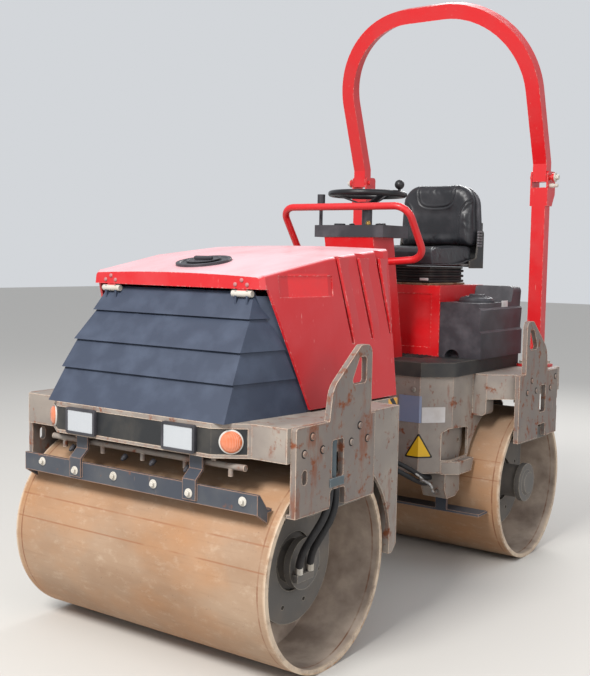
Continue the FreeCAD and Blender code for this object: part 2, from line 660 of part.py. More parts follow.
def half_outline(inset):
    """The deck's outline, front to back on the left side, moved in by a wall."""
    return [(nose_half - inset * 0.5, nose + inset), (corner_half - inset * 0.5, corner + inset),
            (wall_out - inset, corner + inset), (wall_out - inset, cheek_back - inset),
            (s.tail_half - inset, cheek_back - inset), (s.tail_half - inset, -s.front_tail - inset)]


def both_sides(half):
    return half + [(-x, y) for x, y in reversed(half)]


def nose_band(name, proud, depth, ends):
    """A band along the nose and most of both chamfers, from its proud face inward to a depth."""
    end_x = nose_half + (corner_half - nose_half) * s.lamp_bar_share
    end_y = nose + (corner - nose) * s.lamp_bar_share
    return plate(name, "top", both_sides([
        (nose_half + proud * 0.5, nose - proud), (end_x + proud * 0.5, end_y - proud),
        (end_x - depth * 0.5, end_y + depth), (nose_half - depth * 0.5, nose + depth)]), ends)


deck = plate("front_deck", "top", both_sides(half_outline(as_size(0))), (skirt_low, s.frame_top))
lamp_ends = (skirt_low + s.lamp_bar_margin, deck_low - 4)
lamp_window = nose_band("lamp_window", as_size(6), s.beam_wall + 3, lamp_ends)
hollow = plate("front_hollow", "top", both_sides(half_outline(s.beam_wall)), (skirt_low - 1, deck_low))
tail_skirt = cut("tail_skirt", box("tail_block", (-s.tail_half, s.tail_half), (bulk_back, -s.front_tail),
                                   (s.tail_low, deck_low)),
                 box("tail_hollow", (-s.tail_half + s.cheek_wall, s.tail_half - s.cheek_wall),
                     (bulk_front, -s.front_tail - s.cheek_wall), (s.tail_low - 1, deck_low)))
bulkhead = fuse("bulkhead_whole",
                box("bulkhead", (-wall_out, wall_out), (bulk_front, bulk_back), (s.cheek_bottom, deck_low)),
                box("bulkhead_foot", (-s.ram_foot_side - s.ram_eye, s.ram_foot_side + s.ram_eye),
                    (bulk_front, bulk_back), (s.lug_low, s.cheek_bottom)))
cheeks = []
rim_room = rod("front_rim_room", "x", s.drum_radius + s.cheek_clear, (-plate_out, plate_out),
               y=-axle, z=s.drum_radius)
for side, sign in (("left", 1), ("right", -1)):
    x_ends = (wall_out - s.cheek_wall, wall_out) if sign > 0 else (-wall_out, -wall_out + s.cheek_wall)
    blank = plate(f"{side}_cheek", "side",
                  [(bulk_front - s.cheek_reach, deck_low), (bulk_front - s.cheek_reach, s.cheek_bottom),
                   (cheek_back - s.cheek_step, s.cheek_bottom), (cheek_back, s.cheek_bottom + s.cheek_step),
                   (cheek_back, deck_low)], x_ends)
    cheeks.append(cut(f"{side}_cheek_whole", blank, rim_room))
lugs = []
for level, low in (("low", s.lug_low), ("high", s.lug_high)):
    lug = plate(f"{level}_lug", "top",
                [(-s.lug_half, bulk_back), (s.lug_half, bulk_back), (s.lug_nose, 0), (-s.lug_nose, 0)],
                (low, low + s.lug_wall))
    lug_round = rod(f"{level}_lug_nose", "z", s.lug_nose, (low, low + s.lug_wall))
    lugs.append(fuse(f"{level}_lug_whole", lug, lug_round))
gusset = box("lug_gusset", (-s.cheek_wall, s.cheek_wall), (bulk_back, -s.knuckle_radius - s.gusset_gap),
             (s.lug_low, s.lug_high + s.lug_wall))
foot_y = -s.ram_foot_ahead
clevises = []
for level, low, high in (
        ("low", s.ram_height - s.ram_eye_height / 2 - s.move_gap / 2 - s.clevis_wall,
         s.ram_height - s.ram_eye_height / 2 - s.move_gap / 2),
        ("high", s.ram_height + s.ram_eye_height / 2 + s.move_gap / 2,
         s.ram_height + s.ram_eye_height / 2 + s.move_gap / 2 + s.clevis_wall)):
    ear = box(f"{level}_ear_block", (s.ram_foot_side - s.ram_eye, s.ram_foot_side + s.ram_eye),
              (bulk_back, foot_y), (low, high))
    ear_round = rod(f"{level}_ear_round", "z", s.ram_eye, (low, high), x=s.ram_foot_side, y=foot_y)
    clevises += [ear, ear_round]
foot_pin = rod("foot_pin", "z", s.ram_pin,
               (s.ram_height - s.ram_eye_height / 2 - s.move_gap / 2 - s.clevis_wall - 6,
                s.ram_height + s.ram_eye_height / 2 + s.move_gap / 2 + s.clevis_wall + 6),
               x=s.ram_foot_side, y=foot_y)
front_body = cut("front_shell", deck, hollow, lamp_window)
front_whole = cut("front_frame_whole",
                  fuse("front_frame_plates", front_body, tail_skirt, bulkhead, *cheeks, *lugs, gusset,
                       *clevises, foot_pin),
                  rod("lug_bore", "z", s.pin_radius + s.fit_gap, (s.lug_low - 1, s.lug_high + s.lug_wall + 1)))
node("front_frame", front_whole)

# Link: a knuckle on the steering pin, an arm for the cylinder and the oscillation shaft.
knuckle = rod("knuckle", "z", s.knuckle_radius,
              (s.lug_low + s.lug_wall + s.move_gap / 2, s.lug_high - s.move_gap / 2))
pin = rod("steering_pin", "z", s.pin_radius, (s.lug_low - 5, s.lug_high + s.lug_wall + 5))
neck = box("link_neck", (-s.knuckle_radius, s.knuckle_radius), (0, s.flange_back - s.swing_flange_wall),
           (s.swing_height - s.knuckle_radius, s.swing_height + s.knuckle_radius))
flange = rod("link_flange", "y", s.swing_flange, (s.flange_back - s.swing_flange_wall, s.flange_back),
             z=s.swing_height)
swing = rod("swing_shaft", "y", s.swing_radius, (s.flange_back, s.box_front + s.swing_length),
            z=s.swing_height)
arm_high = s.ram_height - s.ram_eye_height / 2 - s.move_gap / 2
arm = plate("ram_arm", "top",
            [(0, -s.knuckle_radius * 0.6), (s.ram_head_side, s.ram_head_behind - s.ram_eye),
             (s.ram_head_side, s.ram_head_behind + s.ram_eye), (0, s.ram_head_behind + s.ram_eye + 20)],
            (arm_high - s.clevis_wall, arm_high))
arm_round = rod("ram_arm_round", "z", s.ram_eye, (arm_high - s.clevis_wall, arm_high),
                x=s.ram_head_side, y=s.ram_head_behind)
node("articulation_link", fuse("link_whole", knuckle, pin, neck, flange, swing, arm, arm_round))

# Steering cylinder, drawn along its own line from the foot pin to the rod pin.
run_x = s.ram_head_side.value - s.ram_foot_side.value
run_y = s.ram_head_behind.value + s.ram_foot_ahead.value
ram_turn = FreeCAD.Rotation(FreeCAD.Vector(0, 0, 1), math.degrees(math.atan2(run_y, run_x)))


def along_ram(name, parts, tools, x, y):
    """Seat a piece drawn along +X onto the cylinder's line."""
    made = cut(name, fuse(name + "_solid", *parts), *tools)
    made.Placement = FreeCAD.Placement(FreeCAD.Vector(), ram_turn)
    return place(made, x, y, s.ram_height)


half_eye = s.ram_eye_height / 2
barrel = along_ram("barrel", [rod("barrel_tube", "x", s.ram_radius, (s.ram_eye - 4, s.ram_tube)),
                              rod("barrel_eye", "z", s.ram_eye, (-half_eye, half_eye))],
                   [rod("barrel_bore", "x", s.rod_radius + s.fit_gap, (s.ram_eye + 8, s.ram_tube + 1)),
                    rod("barrel_eye_bore", "z", s.ram_pin + s.fit_gap, (-half_eye - 1, half_eye + 1))],
                   s.ram_foot_side, foot_y)
node("steering_cylinder", barrel)
piston = along_ram("piston", [rod("piston_rod", "x", s.rod_radius, (-s.rod_back, -s.ram_eye + 6)),
                              rod("piston_eye", "z", s.ram_eye, (-half_eye, half_eye))],
                   [rod("piston_eye_bore", "z", s.ram_pin, (-half_eye - 1, half_eye + 1))],
                   s.ram_head_side, s.ram_head_behind)
node("steering_rod", piston)

# Rear frame: a closed box behind the pivot, a deck over the drum and a skirt round it.
drum_front = axle - s.drum_radius - s.drum_clear
rear_skirt = rear_top - s.beam_height
rear_deck_low = rear_top - s.deck_wall
back = axle + s.rear_nose_reach
back_corner = axle + s.corner_reach


def rear_outline(inset):
    return [(s.box_half - inset * 0.5, s.box_front + inset), (s.box_side - inset, s.box_shoulder + inset * 0.5),
            (s.box_side - inset, s.box_back + inset), (s.wing_side - inset * 0.5, s.box_back + inset),
            (wall_out - inset, s.wing_back + inset * 0.5), (wall_out - inset, back_corner - inset),
            (corner_half - inset * 0.5, back_corner - inset), (nose_half - inset * 0.5, back - inset)]


rear_deck = plate("rear_deck", "top", both_sides(rear_outline(as_size(0))), (rear_skirt, rear_top))
rear_hollow = plate("rear_hollow", "top", both_sides(rear_outline(s.beam_wall)), (rear_skirt - 1, rear_deck_low))
box_half_outline = [(s.box_half, s.box_front), (s.box_side, s.box_shoulder), (s.box_side, s.box_wall_back)]
box_low = plate("rear_box", "top", both_sides(box_half_outline), (s.box_bottom, rear_deck_low))
drum_room = rod("rear_drum_room", "x", s.drum_radius + s.drum_clear, (-wall_out, wall_out), y=axle,
                z=s.drum_radius)
inner_half = [(s.box_half - s.beam_wall * 0.5, s.box_front + s.box_face),
              (s.box_side - s.beam_wall, s.box_shoulder + s.beam_wall * 0.5),
              (s.box_side - s.beam_wall, s.box_wall_back + 1)]
box_inner = plate("rear_box_room", "top", both_sides(inner_half), (s.box_bottom + s.beam_wall, rear_deck_low))
boss = rod("swing_boss", "y", s.swing_flange * 0.8,
           (s.flange_back + s.move_gap / 2, s.box_front + s.swing_length - 10), z=s.swing_height)
boss_web = box("swing_web", (-s.box_half * 0.5, s.box_half * 0.5), (s.box_front, s.box_front + s.box_face),
               (s.swing_height - s.swing_flange, s.box_bottom + s.beam_wall))
swing_bore = rod("swing_bore", "y", s.swing_radius + s.fit_gap, (s.flange_back, s.box_front + s.swing_length + 50),
                 z=s.swing_height)
step = plate("step_block", "top",
             [(s.box_side - 60, s.step_front + 3), (s.box_side - s.step_reach + 3, s.step_front),
              (s.box_side + s.step_reach, s.box_shoulder + 13), (s.box_side + s.step_reach, s.step_back),
              (s.box_side - 5, s.step_back), (s.box_side - 5, s.box_shoulder + 10)], (s.step_low, s.step_high),
             ((2, 12),))
shoe = plate("shoe_block", "side",
             [(s.step_front + 13, s.box_bottom + 5), (s.step_front + 13, s.shoe_low + 45),
              (s.step_front + 38, s.shoe_low),
              (s.step_front + 118, s.shoe_low), (s.step_front + 158, s.shoe_low + 22),
              (s.step_front + 158, s.box_bottom + 5)], (s.shoe_in, s.shoe_out))
bracket = plate("bracket_block", "front",
                [(s.box_side - 5, s.bracket_low), (s.wing_side, s.bracket_low), (s.wing_side, rear_top - 5),
                 (s.box_side - 5, rear_top - 5)], (s.box_back, s.box_back + s.bracket_depth), ((0, 20), (1, 24)))
outworks = []
for name, piece in (("step", step), ("shoe", shoe), ("bracket", bracket)):
    outworks += [piece, mirrored(name + "_right", piece, "x")]
rear_shell = cut("rear_shell", fuse("rear_shell_solid", cut("rear_deck_shell", rear_deck, rear_hollow),
                                    cut("rear_box_shell", box_low, box_inner), *outworks), drum_room)
hatch = plate("hatch_block", "side",
              [(s.hatch_front, s.hatch_low), (s.hatch_back, s.hatch_low), (s.hatch_back, s.hatch_high - 10),
               (s.hatch_front + 30, s.hatch_high), (s.hatch_front, s.hatch_high - 22)],
              (s.liner_side, s.box_side + 20), ((3, 22), (2, 16)))
hatch_inner = box("hatch_inner", (s.liner_side - 50, s.liner_side + 1), (s.hatch_front, s.hatch_front + 60),
                  (s.hatch_low, s.hatch_high - 22))
liner = cut("liner_whole", box("liner", (s.liner_side - 6, s.liner_side), (s.hatch_front - 4, s.hatch_back + 25),
                               (s.box_bottom + 4, s.hatch_high + 60)), drum_room,
            rod("liner_hole", "x", 9, (s.liner_side - 10, s.liner_side + 10), y=s.hatch_back - 14,
                z=s.hatch_low + 70))
opened = cut("rear_opened", rear_shell, hatch, hatch_inner, mirrored("hatch_right", hatch, "x"),
             mirrored("hatch_inner_right", hatch_inner, "x"))
liner_right = mirrored("liner_right", liner, "x")
rear_whole = cut("rear_frame_whole", fuse("rear_frame_plates", opened, boss, boss_web, liner, liner_right),
                 swing_bore)
node("rear_frame", rear_whole)

# Hood: a hollow moulding lofted over four sections, with pleats and a blank badge panel pressed in.
def hood_section(y, foot_half, foot, top_half, top, crown, inset):
    """Round the hood at one place along it: foot, shoulder and crown, joined by arcs."""
    radius = s.hood_crease.value - inset * 0.8
    foot_half, top_half, top, crown = foot_half - inset, top_half - inset, top - inset, crown - inset
    slope = (foot_half - top_half) / (top - foot)
    edge = top_half + slope * radius
    points = [FreeCAD.Vector(foot_half, y, foot), FreeCAD.Vector(edge, y, top - radius),
              FreeCAD.Vector(edge - radius * 0.3, y, top - radius * 0.29),
              FreeCAD.Vector(edge - radius, y, top), FreeCAD.Vector(0, y, crown)]
    flip = [FreeCAD.Vector(-p.x, p.y, p.z) for p in points]
    edges = [Part.LineSegment(points[0], points[1]), Part.Arc(points[1], points[2], points[3]),
             Part.Arc(points[3], points[4], flip[3]), Part.Arc(flip[3], flip[2], flip[1]),
             Part.LineSegment(flip[1], flip[0]), Part.LineSegment(flip[0], points[0])]
    return Part.Wire([edge.toShape() for edge in edges])


hood_foot = (s.frame_top + s.hood_gap).value
bevel, wall = s.hood_nose_bevel.value, s.hood_wall.value
front_y, middle_y, back_y = -s.hood_front.value, -s.hood_middle.value, -s.hood_back.value
high_front, high_middle, high_back = ((s.hood_lip + rise).value
                                      for rise in (s.hood_rise_front, s.hood_rise_middle, s.hood_rise_back))
beyond = s.hood_foot_back.value + 200
# Sections: place along the machine, foot half width, shoulder half width, shoulder height.
HOOD = ((front_y, s.hood_foot_front.value - bevel * 0.6, s.hood_top_front.value - bevel * 0.6,
         high_front - bevel * 0.5),
        (front_y + bevel, s.hood_foot_front.value, s.hood_top_front.value, high_front),
        (middle_y, s.hood_foot_middle.value, s.hood_top_middle.value, high_middle),
        (back_y, s.hood_foot_back.value, s.hood_top_back.value, high_back))
crown_rise = s.hood_crown.value


def hood_side(y, z):
    """Half width of the hood's flank at one place, between the sections on either side."""
    for (y0, f0, t0, h0), (y1, f1, t1, h1) in zip(HOOD[1:], HOOD[2:]):
        if y <= y1 or y1 == back_y:
            share = (y - y0) / (y1 - y0)
            foot, top, high = (p + (q - p) * share for p, q in ((f0, f1), (t0, t1), (h0, h1)))
            return foot + (top - foot) * (z - hood_foot) / (high - hood_foot), high


outer = Part.makeLoft([hood_section(y, f, hood_foot, t, h, h + crown_rise, 0) for y, f, t, h in HOOD],
                      True, True)
inner_places = (front_y + wall, front_y + bevel + wall * 0.5, middle_y, back_y - wall)
inner = Part.makeLoft([hood_section(y, f, hood_foot - 2, t, h, h + crown_rise, wall)
                       for y, (_, f, t, h) in zip(inner_places, HOOD)], True, True)
hood_shape = outer.cut(inner)
rake = Part.Face(Part.makePolygon([FreeCAD.Vector(-beyond, y, z) for y, z in (
    (front_y - 10, s.hood_lip.value), (front_y + 30, s.hood_lip.value),
    (-s.hood_edge_foot.value, hood_foot - 5), (front_y - 10, hood_foot - 5),
    (front_y - 10, s.hood_lip.value))])).extrude(FreeCAD.Vector(2 * beyond, 0, 0))
hood_shape = hood_shape.cut(rake)


def pressed(shape, tools):
    """Press tools into both flanks: the wall behind each one follows it inward."""
    for tool in tools:
        for sign in (1, -1):
            side_tool = tool if sign > 0 else tool.mirror(FreeCAD.Vector(), FreeCAD.Vector(1, 0, 0))
            lining = side_tool.copy()
            lining.translate(FreeCAD.Vector(-sign * wall, 0, 0))
            shape = shape.fuse(lining.common(outer)).cut(side_tool)
    return shape


def pleat_wire(y, z, width):
    """Plan section of a pleat: a steep front flank and a long slope back to the surface."""
    x = hood_side(y + width / 2, z)[0]
    return Part.makePolygon([FreeCAD.Vector(*p) for p in (
        (x + 6, y, z), (x + 6, y + width * 1.25, z), (x - s.pleat_depth.value, y + width * 0.2, z), (x + 6, y, z))])


pleats = []
for number in range(3):
    top_y = -s.pleat_first.value + number * s.pleat_step.value
    foot_z = s.pleat_foot.value + number * s.pleat_rise.value
    pleats.append(Part.makeLoft([
        pleat_wire(top_y, hood_side(top_y, foot_z)[1] + 12, s.pleat_wide.value),
        pleat_wire(top_y + s.pleat_lean.value, foot_z, s.pleat_narrow.value)], True, True))
badge = []
badge_low, badge_high = (s.hood_lip - s.badge_drop).value, (s.hood_lip + s.badge_rise).value
for y, z in ((-s.badge_front.value, badge_low), (-s.badge_back.value, badge_low),
             (-s.badge_back.value, badge_high), (-s.badge_front.value, badge_high)):
    badge.append(FreeCAD.Vector(hood_side(y, z)[0] - s.badge_depth.value, y, z))
badge_face = Part.Face(Part.makePolygon([badge[0], badge[1], badge[2], badge[0]]))
badge_tool = badge_face.fuse(Part.Face(Part.makePolygon([badge[0], badge[2], badge[3], badge[0]])))
pleats.append(badge_tool.Faces[0].extrude(FreeCAD.Vector(30, 0, 0)).fuse(
    badge_tool.Faces[1].extrude(FreeCAD.Vector(30, 0, 0))))
hood_shape = pressed(hood_shape, pleats)
hinge_y, hinge_z = -s.hood_hinge_ahead.value, (s.hood_lip - s.hood_hinge_drop).value
hinge_r, hinge_side = s.hood_hinge_radius.value, s.hood_hinge_side.value
along_x = FreeCAD.Vector(1, 0, 0)
for sign in (1, -1):
    x = sign * hinge_side
    tab = Part.makeBox(40, 10, s.hood_lip.value + 30 - hinge_z, FreeCAD.Vector(x - 20, front_y + 3, hinge_z))
    knuckle_shape = Part.makeCylinder(hinge_r + 4, 40, FreeCAD.Vector(x - 20, hinge_y, hinge_z), along_x)
    hood_shape = hood_shape.fuse([tab, knuckle_shape])
    hood_shape = hood_shape.cut(Part.makeCylinder(hinge_r + s.fit_gap.value, 60,
                                                  FreeCAD.Vector(x - 30, hinge_y, hinge_z), along_x))
hood_shape = hood_shape.removeSplitter()
node("hood", solid_part("hood_shell", hood_shape.Solids[0]))

# Filler cap: a turned lid with a rim and a boss, lying on the hood's slope.
cap_y = -s.cap_ahead.value
cap_z = hood_side(cap_y, hood_foot)[1] + crown_rise
proud, cap_r = s.cap_proud.value, s.cap_radius.value
cap_profile = [(0, -25), (cap_r, -25), (cap_r, proud - 2), (cap_r - 2, proud), (cap_r - 14, proud),
               (cap_r - 17, proud - 4), (cap_r * 0.38, proud - 4), (cap_r * 0.32, proud), (0, proud), (0, -25)]
cap_shape = Part.Face(Part.makePolygon([FreeCAD.Vector(r, 0, z) for r, z in cap_profile])).revolve(
    FreeCAD.Vector(), FreeCAD.Vector(0, 0, 1), 360)
slope = math.degrees(math.atan2(high_middle - high_front, middle_y - front_y - bevel))
cap_shape.Placement = FreeCAD.Placement(FreeCAD.Vector(0, cap_y, cap_z), FreeCAD.Rotation(along_x, slope))
node("hood_cap", solid_part("hood_cap_body", cap_shape.cut(outer).Solids[0]))

# Grille: four overlapping tiers that narrow towards the top, hollow at the back.
grille_top, grille_foot = s.hood_lip.value - 6, s.frame_top.value
# Tier edges from the foot up: share of the height, of the front's lean and of its narrowing.
TIERS = ((0.0, 0.0, 0.0), (0.285, 0.24, 0.17), (0.525, 0.46, 0.33), (0.779, 0.79, 0.69), (1.0, 1.0, 1.0))


def tier_edge(share, lean_share, narrow):
    return (grille_foot + (grille_top - grille_foot) * share,
            -s.grille_foot_reach.value + (s.grille_foot_reach - s.grille_top_reach).value * lean_share,
            s.grille_foot_half.value - (s.grille_foot_half - s.grille_top_half).value * narrow)


def grille_ring(z, y, half, inset):
    """Plan section of the grille: a straight front, two chamfers and flanks running back."""
    spread, rear = s.grille_spread.value, -s.grille_back.value
    y, half = y + inset, half - inset
    side = half + spread - inset * 0.4
    points = [(half, y), (side, y + (rear - y) * 0.97), (side, rear + 2)]
    full = points + [(-px, py) for px, py in reversed(points)]
    wire = [FreeCAD.Vector(px, py, z) for px, py in full]
    return Part.makePolygon(wire + wire[:1])


lap = s.grille_step.value
edges = [tier_edge(*shares) for shares in TIERS]
tiers = [Part.makeLoft([grille_ring(low, y_low - lap, half_low + lap * 0.5, 0),
                        grille_ring(high, y_high, half_high, 0)], True, True)
         for (low, y_low, half_low), (high, y_high, half_high) in zip(edges, edges[1:])]
room_wall = s.grille_room.value
(foot_z, foot_y, foot_half), (top_z, top_y, top_half) = edges[0], edges[-1]
room = Part.makeLoft([grille_ring(foot_z - 1, foot_y, foot_half, room_wall),
                      grille_ring(top_z - 14, top_y, top_half, room_wall)], True, True)
back_plane = Part.Face(Part.makePolygon([FreeCAD.Vector(-beyond, y, z) for y, z in (
    (front_y + 24, s.hood_lip.value), (middle_y, s.hood_lip.value), (middle_y, hood_foot - 20),
    (-s.hood_edge_foot.value - 6, hood_foot - 20), (front_y + 24, s.hood_lip.value))])).extrude(
        FreeCAD.Vector(2 * beyond, 0, 0))
grille_shape = tiers[0].fuse(tiers[1:]).cut([room, back_plane])
ear_foot = hinge_z - 51
lean = (s.grille_foot_reach - s.grille_top_reach).value * (top_z - ear_foot) / (top_z - foot_z)
ear_outline = [(hinge_y - 9, hinge_z + 9), (hinge_y + 37, hinge_z + 9), (hinge_y + 37, ear_foot),
               (top_y - lean + 2, ear_foot), (hinge_y - 9, hinge_z - 9), (hinge_y - 9, hinge_z + 9)]
for sign in (1, -1):
    for edge in (-29, 21):
        grille_shape = grille_shape.fuse(Part.Face(Part.makePolygon([
            FreeCAD.Vector(sign * hinge_side + edge, y, z) for y, z in ear_outline])).extrude(
                FreeCAD.Vector(8, 0, 0)))
    grille_shape = grille_shape.fuse(Part.makeCylinder(
        hinge_r, 58, FreeCAD.Vector(sign * hinge_side - 29, hinge_y, hinge_z), along_x))
grille_shape = grille_shape.removeSplitter()
node("grille", solid_part("grille_shell", grille_shape))

# Lamps: a dark bar sunk in the nose and chamfers, head lamps, an indicator on each chamfer, rear lamps.
lamp_bar = nose_band("lamp_bar_body", -s.lamp_bar_sunk, s.lamp_bar_sunk + s.lamp_bar_wall, lamp_ends)
node("lamp_bar", lamp_bar)
bar_face = nose + s.lamp_bar_sunk
INDICATOR = ((0, 0), (0, s.blinker_radius), (s.blinker_depth * 0.4, s.blinker_radius),
             (s.blinker_depth * 0.75, s.blinker_radius * 0.82), (s.blinker_depth * 0.95, s.blinker_radius * 0.5),
             (s.blinker_depth, 0))
for side, sign in (("left", 1), ("right", -1)):
    centre = sign * lamp_side
    node(f"{side}_headlamp", plate(f"{side}_headlamp_body", "front", [
        (centre - s.lamp_width / 2, lamp_ends[0] + 2), (centre + s.lamp_width / 2, lamp_ends[0] + 2),
        (centre + s.lamp_width / 2, lamp_ends[1] - 2), (centre - s.lamp_width / 2, lamp_ends[1] - 2)],
        (bar_face - s.lamp_proud, bar_face), ((0, 8), (1, 8), (2, 8), (3, 8))))
    lamp = turned(f"{side}_indicator_body", "front", INDICATOR, "H_Axis")
    facing = math.degrees(math.atan2((nose_half - corner_half).value, sign * (corner - nose).value))
    lamp.Placement = FreeCAD.Placement(FreeCAD.Vector(), FreeCAD.Rotation(FreeCAD.Vector(0, 0, 1), facing))
    place(lamp, sign * ((nose_half + corner_half) / 2 - s.lamp_bar_sunk * 0.5),
          (nose + corner) / 2 + s.lamp_bar_sunk, (lamp_ends[0] + lamp_ends[1]) / 2)
    node(f"{side}_indicator", lamp)
    node(f"{side}_rear_lamp", plate(f"{side}_rear_lamp_body", "front", [
        (centre - 55, rear_skirt + 20), (centre + 55, rear_skirt + 20), (centre + 55, rear_top - 20),
        (centre - 55, rear_top - 20)], (back, back + 24), ((0, 8), (1, 8), (2, 8), (3, 8))))

node("engine_block", box("engine_body", (-s.engine_half, s.engine_half), (-s.engine_front, -s.engine_rear),
                         (s.frame_top, s.frame_top + s.engine_height)))

# Scrapers and spray pipes, outside and inside each drum.
def ordered(one, other):
    return sorted((as_size(one), as_size(other)), key=lambda number: number.value)


ENDS = (("front", -1, deck_low, s.nose_reach), ("rear", 1, rear_deck_low, s.rear_nose_reach))
for end, sign, under, reach in ENDS:
    def out(distance):
        """A place along the machine, counted outward from this drum's axis."""
        return sign * (axle + distance)

    face = reach - s.scraper_inset
    bar_top = s.scraper_low + s.scraper_height
    pieces = [box(f"{end}_scraper_bar", (-s.scraper_half, s.scraper_half),
                  ordered(out(face), out(face - s.scraper_wall)), (s.scraper_low, bar_top)),
              box(f"{end}_scraper_blade", (-s.scraper_half, s.scraper_half),
                  ordered(out(face), out(s.scraper_blade_reach)), (s.scraper_low, s.scraper_low + s.scraper_wall))]
    for side in (1, -1):
        x = side * s.scraper_arm
        pieces.append(plate(f"{end}_scraper_arm{'_left' if side > 0 else '_right'}", "side", [
            (out(face + 8), s.scraper_low + 10), (out(face), s.scraper_low + 10), (out(face), bar_top + 12),
            (out(face - 34), bar_top + 40), (out(face - 34), under), (out(face - 26), under),
            (out(face - 26), bar_top + 44), (out(face + 8), bar_top + 14)],
            (x - s.scraper_arm_width / 2, x + s.scraper_arm_width / 2)))
        wing_in = s.scraper_half - 8 if side > 0 else -s.scraper_half
        pieces.append(plate(f"{end}_scraper_wing{'_left' if side > 0 else '_right'}", "side", [
            (out(face), bar_top), (out(face - s.scraper_wall), bar_top),
            (out(s.wing_reach), s.scraper_low + s.scraper_wall), (out(s.wing_reach), s.wing_low),
            (out(face), s.scraper_low)], (wing_in, wing_in + 8)))
    node(f"{end}_outer_scraper", fuse(f"{end}_outer_scraper_whole", *pieces))
    pipe_y = out(reach - s.spray_inset)
    pieces = [rod(f"{end}_spray_tube", "x", s.spray_radius, (-s.spray_half, s.spray_half), y=pipe_y,
                  z=s.spray_height)]
    for side in (1, -1):
        pieces.append(box(f"{end}_spray_hanger{'_left' if side > 0 else '_right'}",
                          (side * s.spray_hanger - 8, side * s.spray_hanger + 8), (pipe_y - 6, pipe_y + 6),
                          (s.spray_height, under)))
    for number in range(-2, 3):
        pieces.append(rod(f"{end}_nozzle{number + 3}", "z", s.nozzle_radius,
                          (s.spray_height - s.nozzle_drop, s.spray_height), x=number * s.nozzle_step, y=pipe_y))
    node(f"{end}_spray_pipe", fuse(f"{end}_spray_whole", *pieces))
    if end == "front":
        near, far = bulk_front, out(-s.drum_radius - s.blade_gap)
        bar = box("front_inner_scraper_bar", (-s.inner_scraper_half, s.inner_scraper_half), ordered(near, far),
                  (s.inner_scraper_low, s.inner_scraper_low + s.scraper_wall))
    else:
        near = s.rear_scraper_back - s.inner_scraper_depth
        arm_at = (s.shoe_in + s.shoe_out) / 2
        bar = fuse("rear_inner_scraper_whole",
                   box("rear_inner_scraper_bar", (-s.inner_scraper_half, s.inner_scraper_half),
                       (near, s.rear_scraper_back), (s.rear_scraper_low, s.rear_scraper_low + s.scraper_wall)),
                   *(box(f"rear_inner_scraper_arm{'_left' if side > 0 else '_right'}",
                         (side * arm_at - s.scraper_arm_width / 2, side * arm_at + s.scraper_arm_width / 2),
                         (near, near + s.scraper_wall), (s.rear_scraper_low, s.shoe_low)) for side in (1, -1)))
    node(f"{end}_inner_scraper", bar)

# Operator's place: floor tray, seat box, seat, tanks and caps.
floor_top = rear_top + s.platform_height


def tray_outline(inset):
    side = s.box_side + s.tray_lip
    return both_sides([(s.box_half + s.tray_lip * 0.5 - inset * 0.5, s.box_front - s.tray_lip * 0.5 + inset),
                       (side - inset, s.box_shoulder - s.tray_lip * 0.5 + inset * 0.5),
                       (side - inset, s.platform_back - inset)])


node("floor_tray", cut("floor_tray_whole",
                       plate("floor_tray_body", "top", tray_outline(as_size(0)), (rear_top, floor_top),
                             ((1, 30), (4, 30))),
                       plate("floor_tray_room", "top", tray_outline(s.platform_wall),
                             (rear_top - 1, floor_top - s.platform_wall))))
seat_box = cut("seat_box_whole", box("seat_box_solid", (-s.seat_box_half, s.seat_box_half),
                                     (s.seat_box_front, s.seat_box_back), (floor_top, floor_top + s.seat_box_height)),
               box("seat_box_panel", (-s.seat_box_half + 45, s.seat_box_half - 45),
                   (s.seat_box_front - 1, s.seat_box_front + 5),
                   (floor_top + 40, floor_top + s.seat_box_height - 40)),
               box("seat_box_room", (-s.seat_box_half + 6, s.seat_box_half - 6),
                   (s.seat_box_front + 12, s.seat_box_back - 6), (floor_top - 1, floor_top + s.seat_box_height - 6)))
node("seat_box", seat_box)
seat_low = floor_top + s.seat_box_height
node("seat_suspension", box("seat_suspension_body", (-s.seat_half + 40, s.seat_half - 40),
                            (s.seat_front + 50, s.seat_back - 20), (seat_low, seat_low + s.seat_slide)))
cushion_low = seat_low + s.seat_slide
node("seat_cushion", plate("seat_cushion_body", "side",
                           [(s.seat_front, cushion_low), (s.seat_back, cushion_low),
                            (s.seat_back, cushion_low + s.cushion_height),
                            (s.seat_front, cushion_low + s.cushion_height)],
                           (-s.seat_half, s.seat_half), ((2, 20), (3, 35))))
node("seat_backrest", plate("seat_backrest_body", "front",
                            [(-s.seat_half + 8, cushion_low + s.cushion_height + 6),
                             (s.seat_half - 8, cushion_low + s.cushion_height + 6),
                             (s.seat_half - 20, s.backrest_top), (-s.seat_half + 20, s.backrest_top)],
                            (s.backrest_front, s.backrest_front + s.backrest_depth), ((2, 90), (3, 90))))
backrest_rear = s.backrest_front + s.backrest_depth
bracket_back = plate("backrest_bracket_body", "side",
                               [(s.seat_back, cushion_low), (backrest_rear + 8, cushion_low),
                                (backrest_rear + 8, cushion_low + s.cushion_height + 130),
                                (backrest_rear, cushion_low + s.cushion_height + 130),
                                (backrest_rear, cushion_low + 8), (s.seat_back, cushion_low + 8)],
                     (-s.seat_half - 1, s.seat_half + 1))
ears = []
for side, low in (("left", s.seat_half + 1), ("right", -s.seat_half - 9)):
    ears.append(plate(f"{side}_backrest_ear", "side", [
        (s.seat_back - 70, cushion_low - 6), (backrest_rear + 8, cushion_low - 6),
        (backrest_rear + 8, cushion_low + s.cushion_height + 90),
        (backrest_rear - 42, cushion_low + s.cushion_height + 90),
        (s.seat_back + 4, cushion_low + 46), (s.seat_back - 70, cushion_low + 30)], (low, low + 8),
        ((0, 10), (2, 18), (3, 18))))
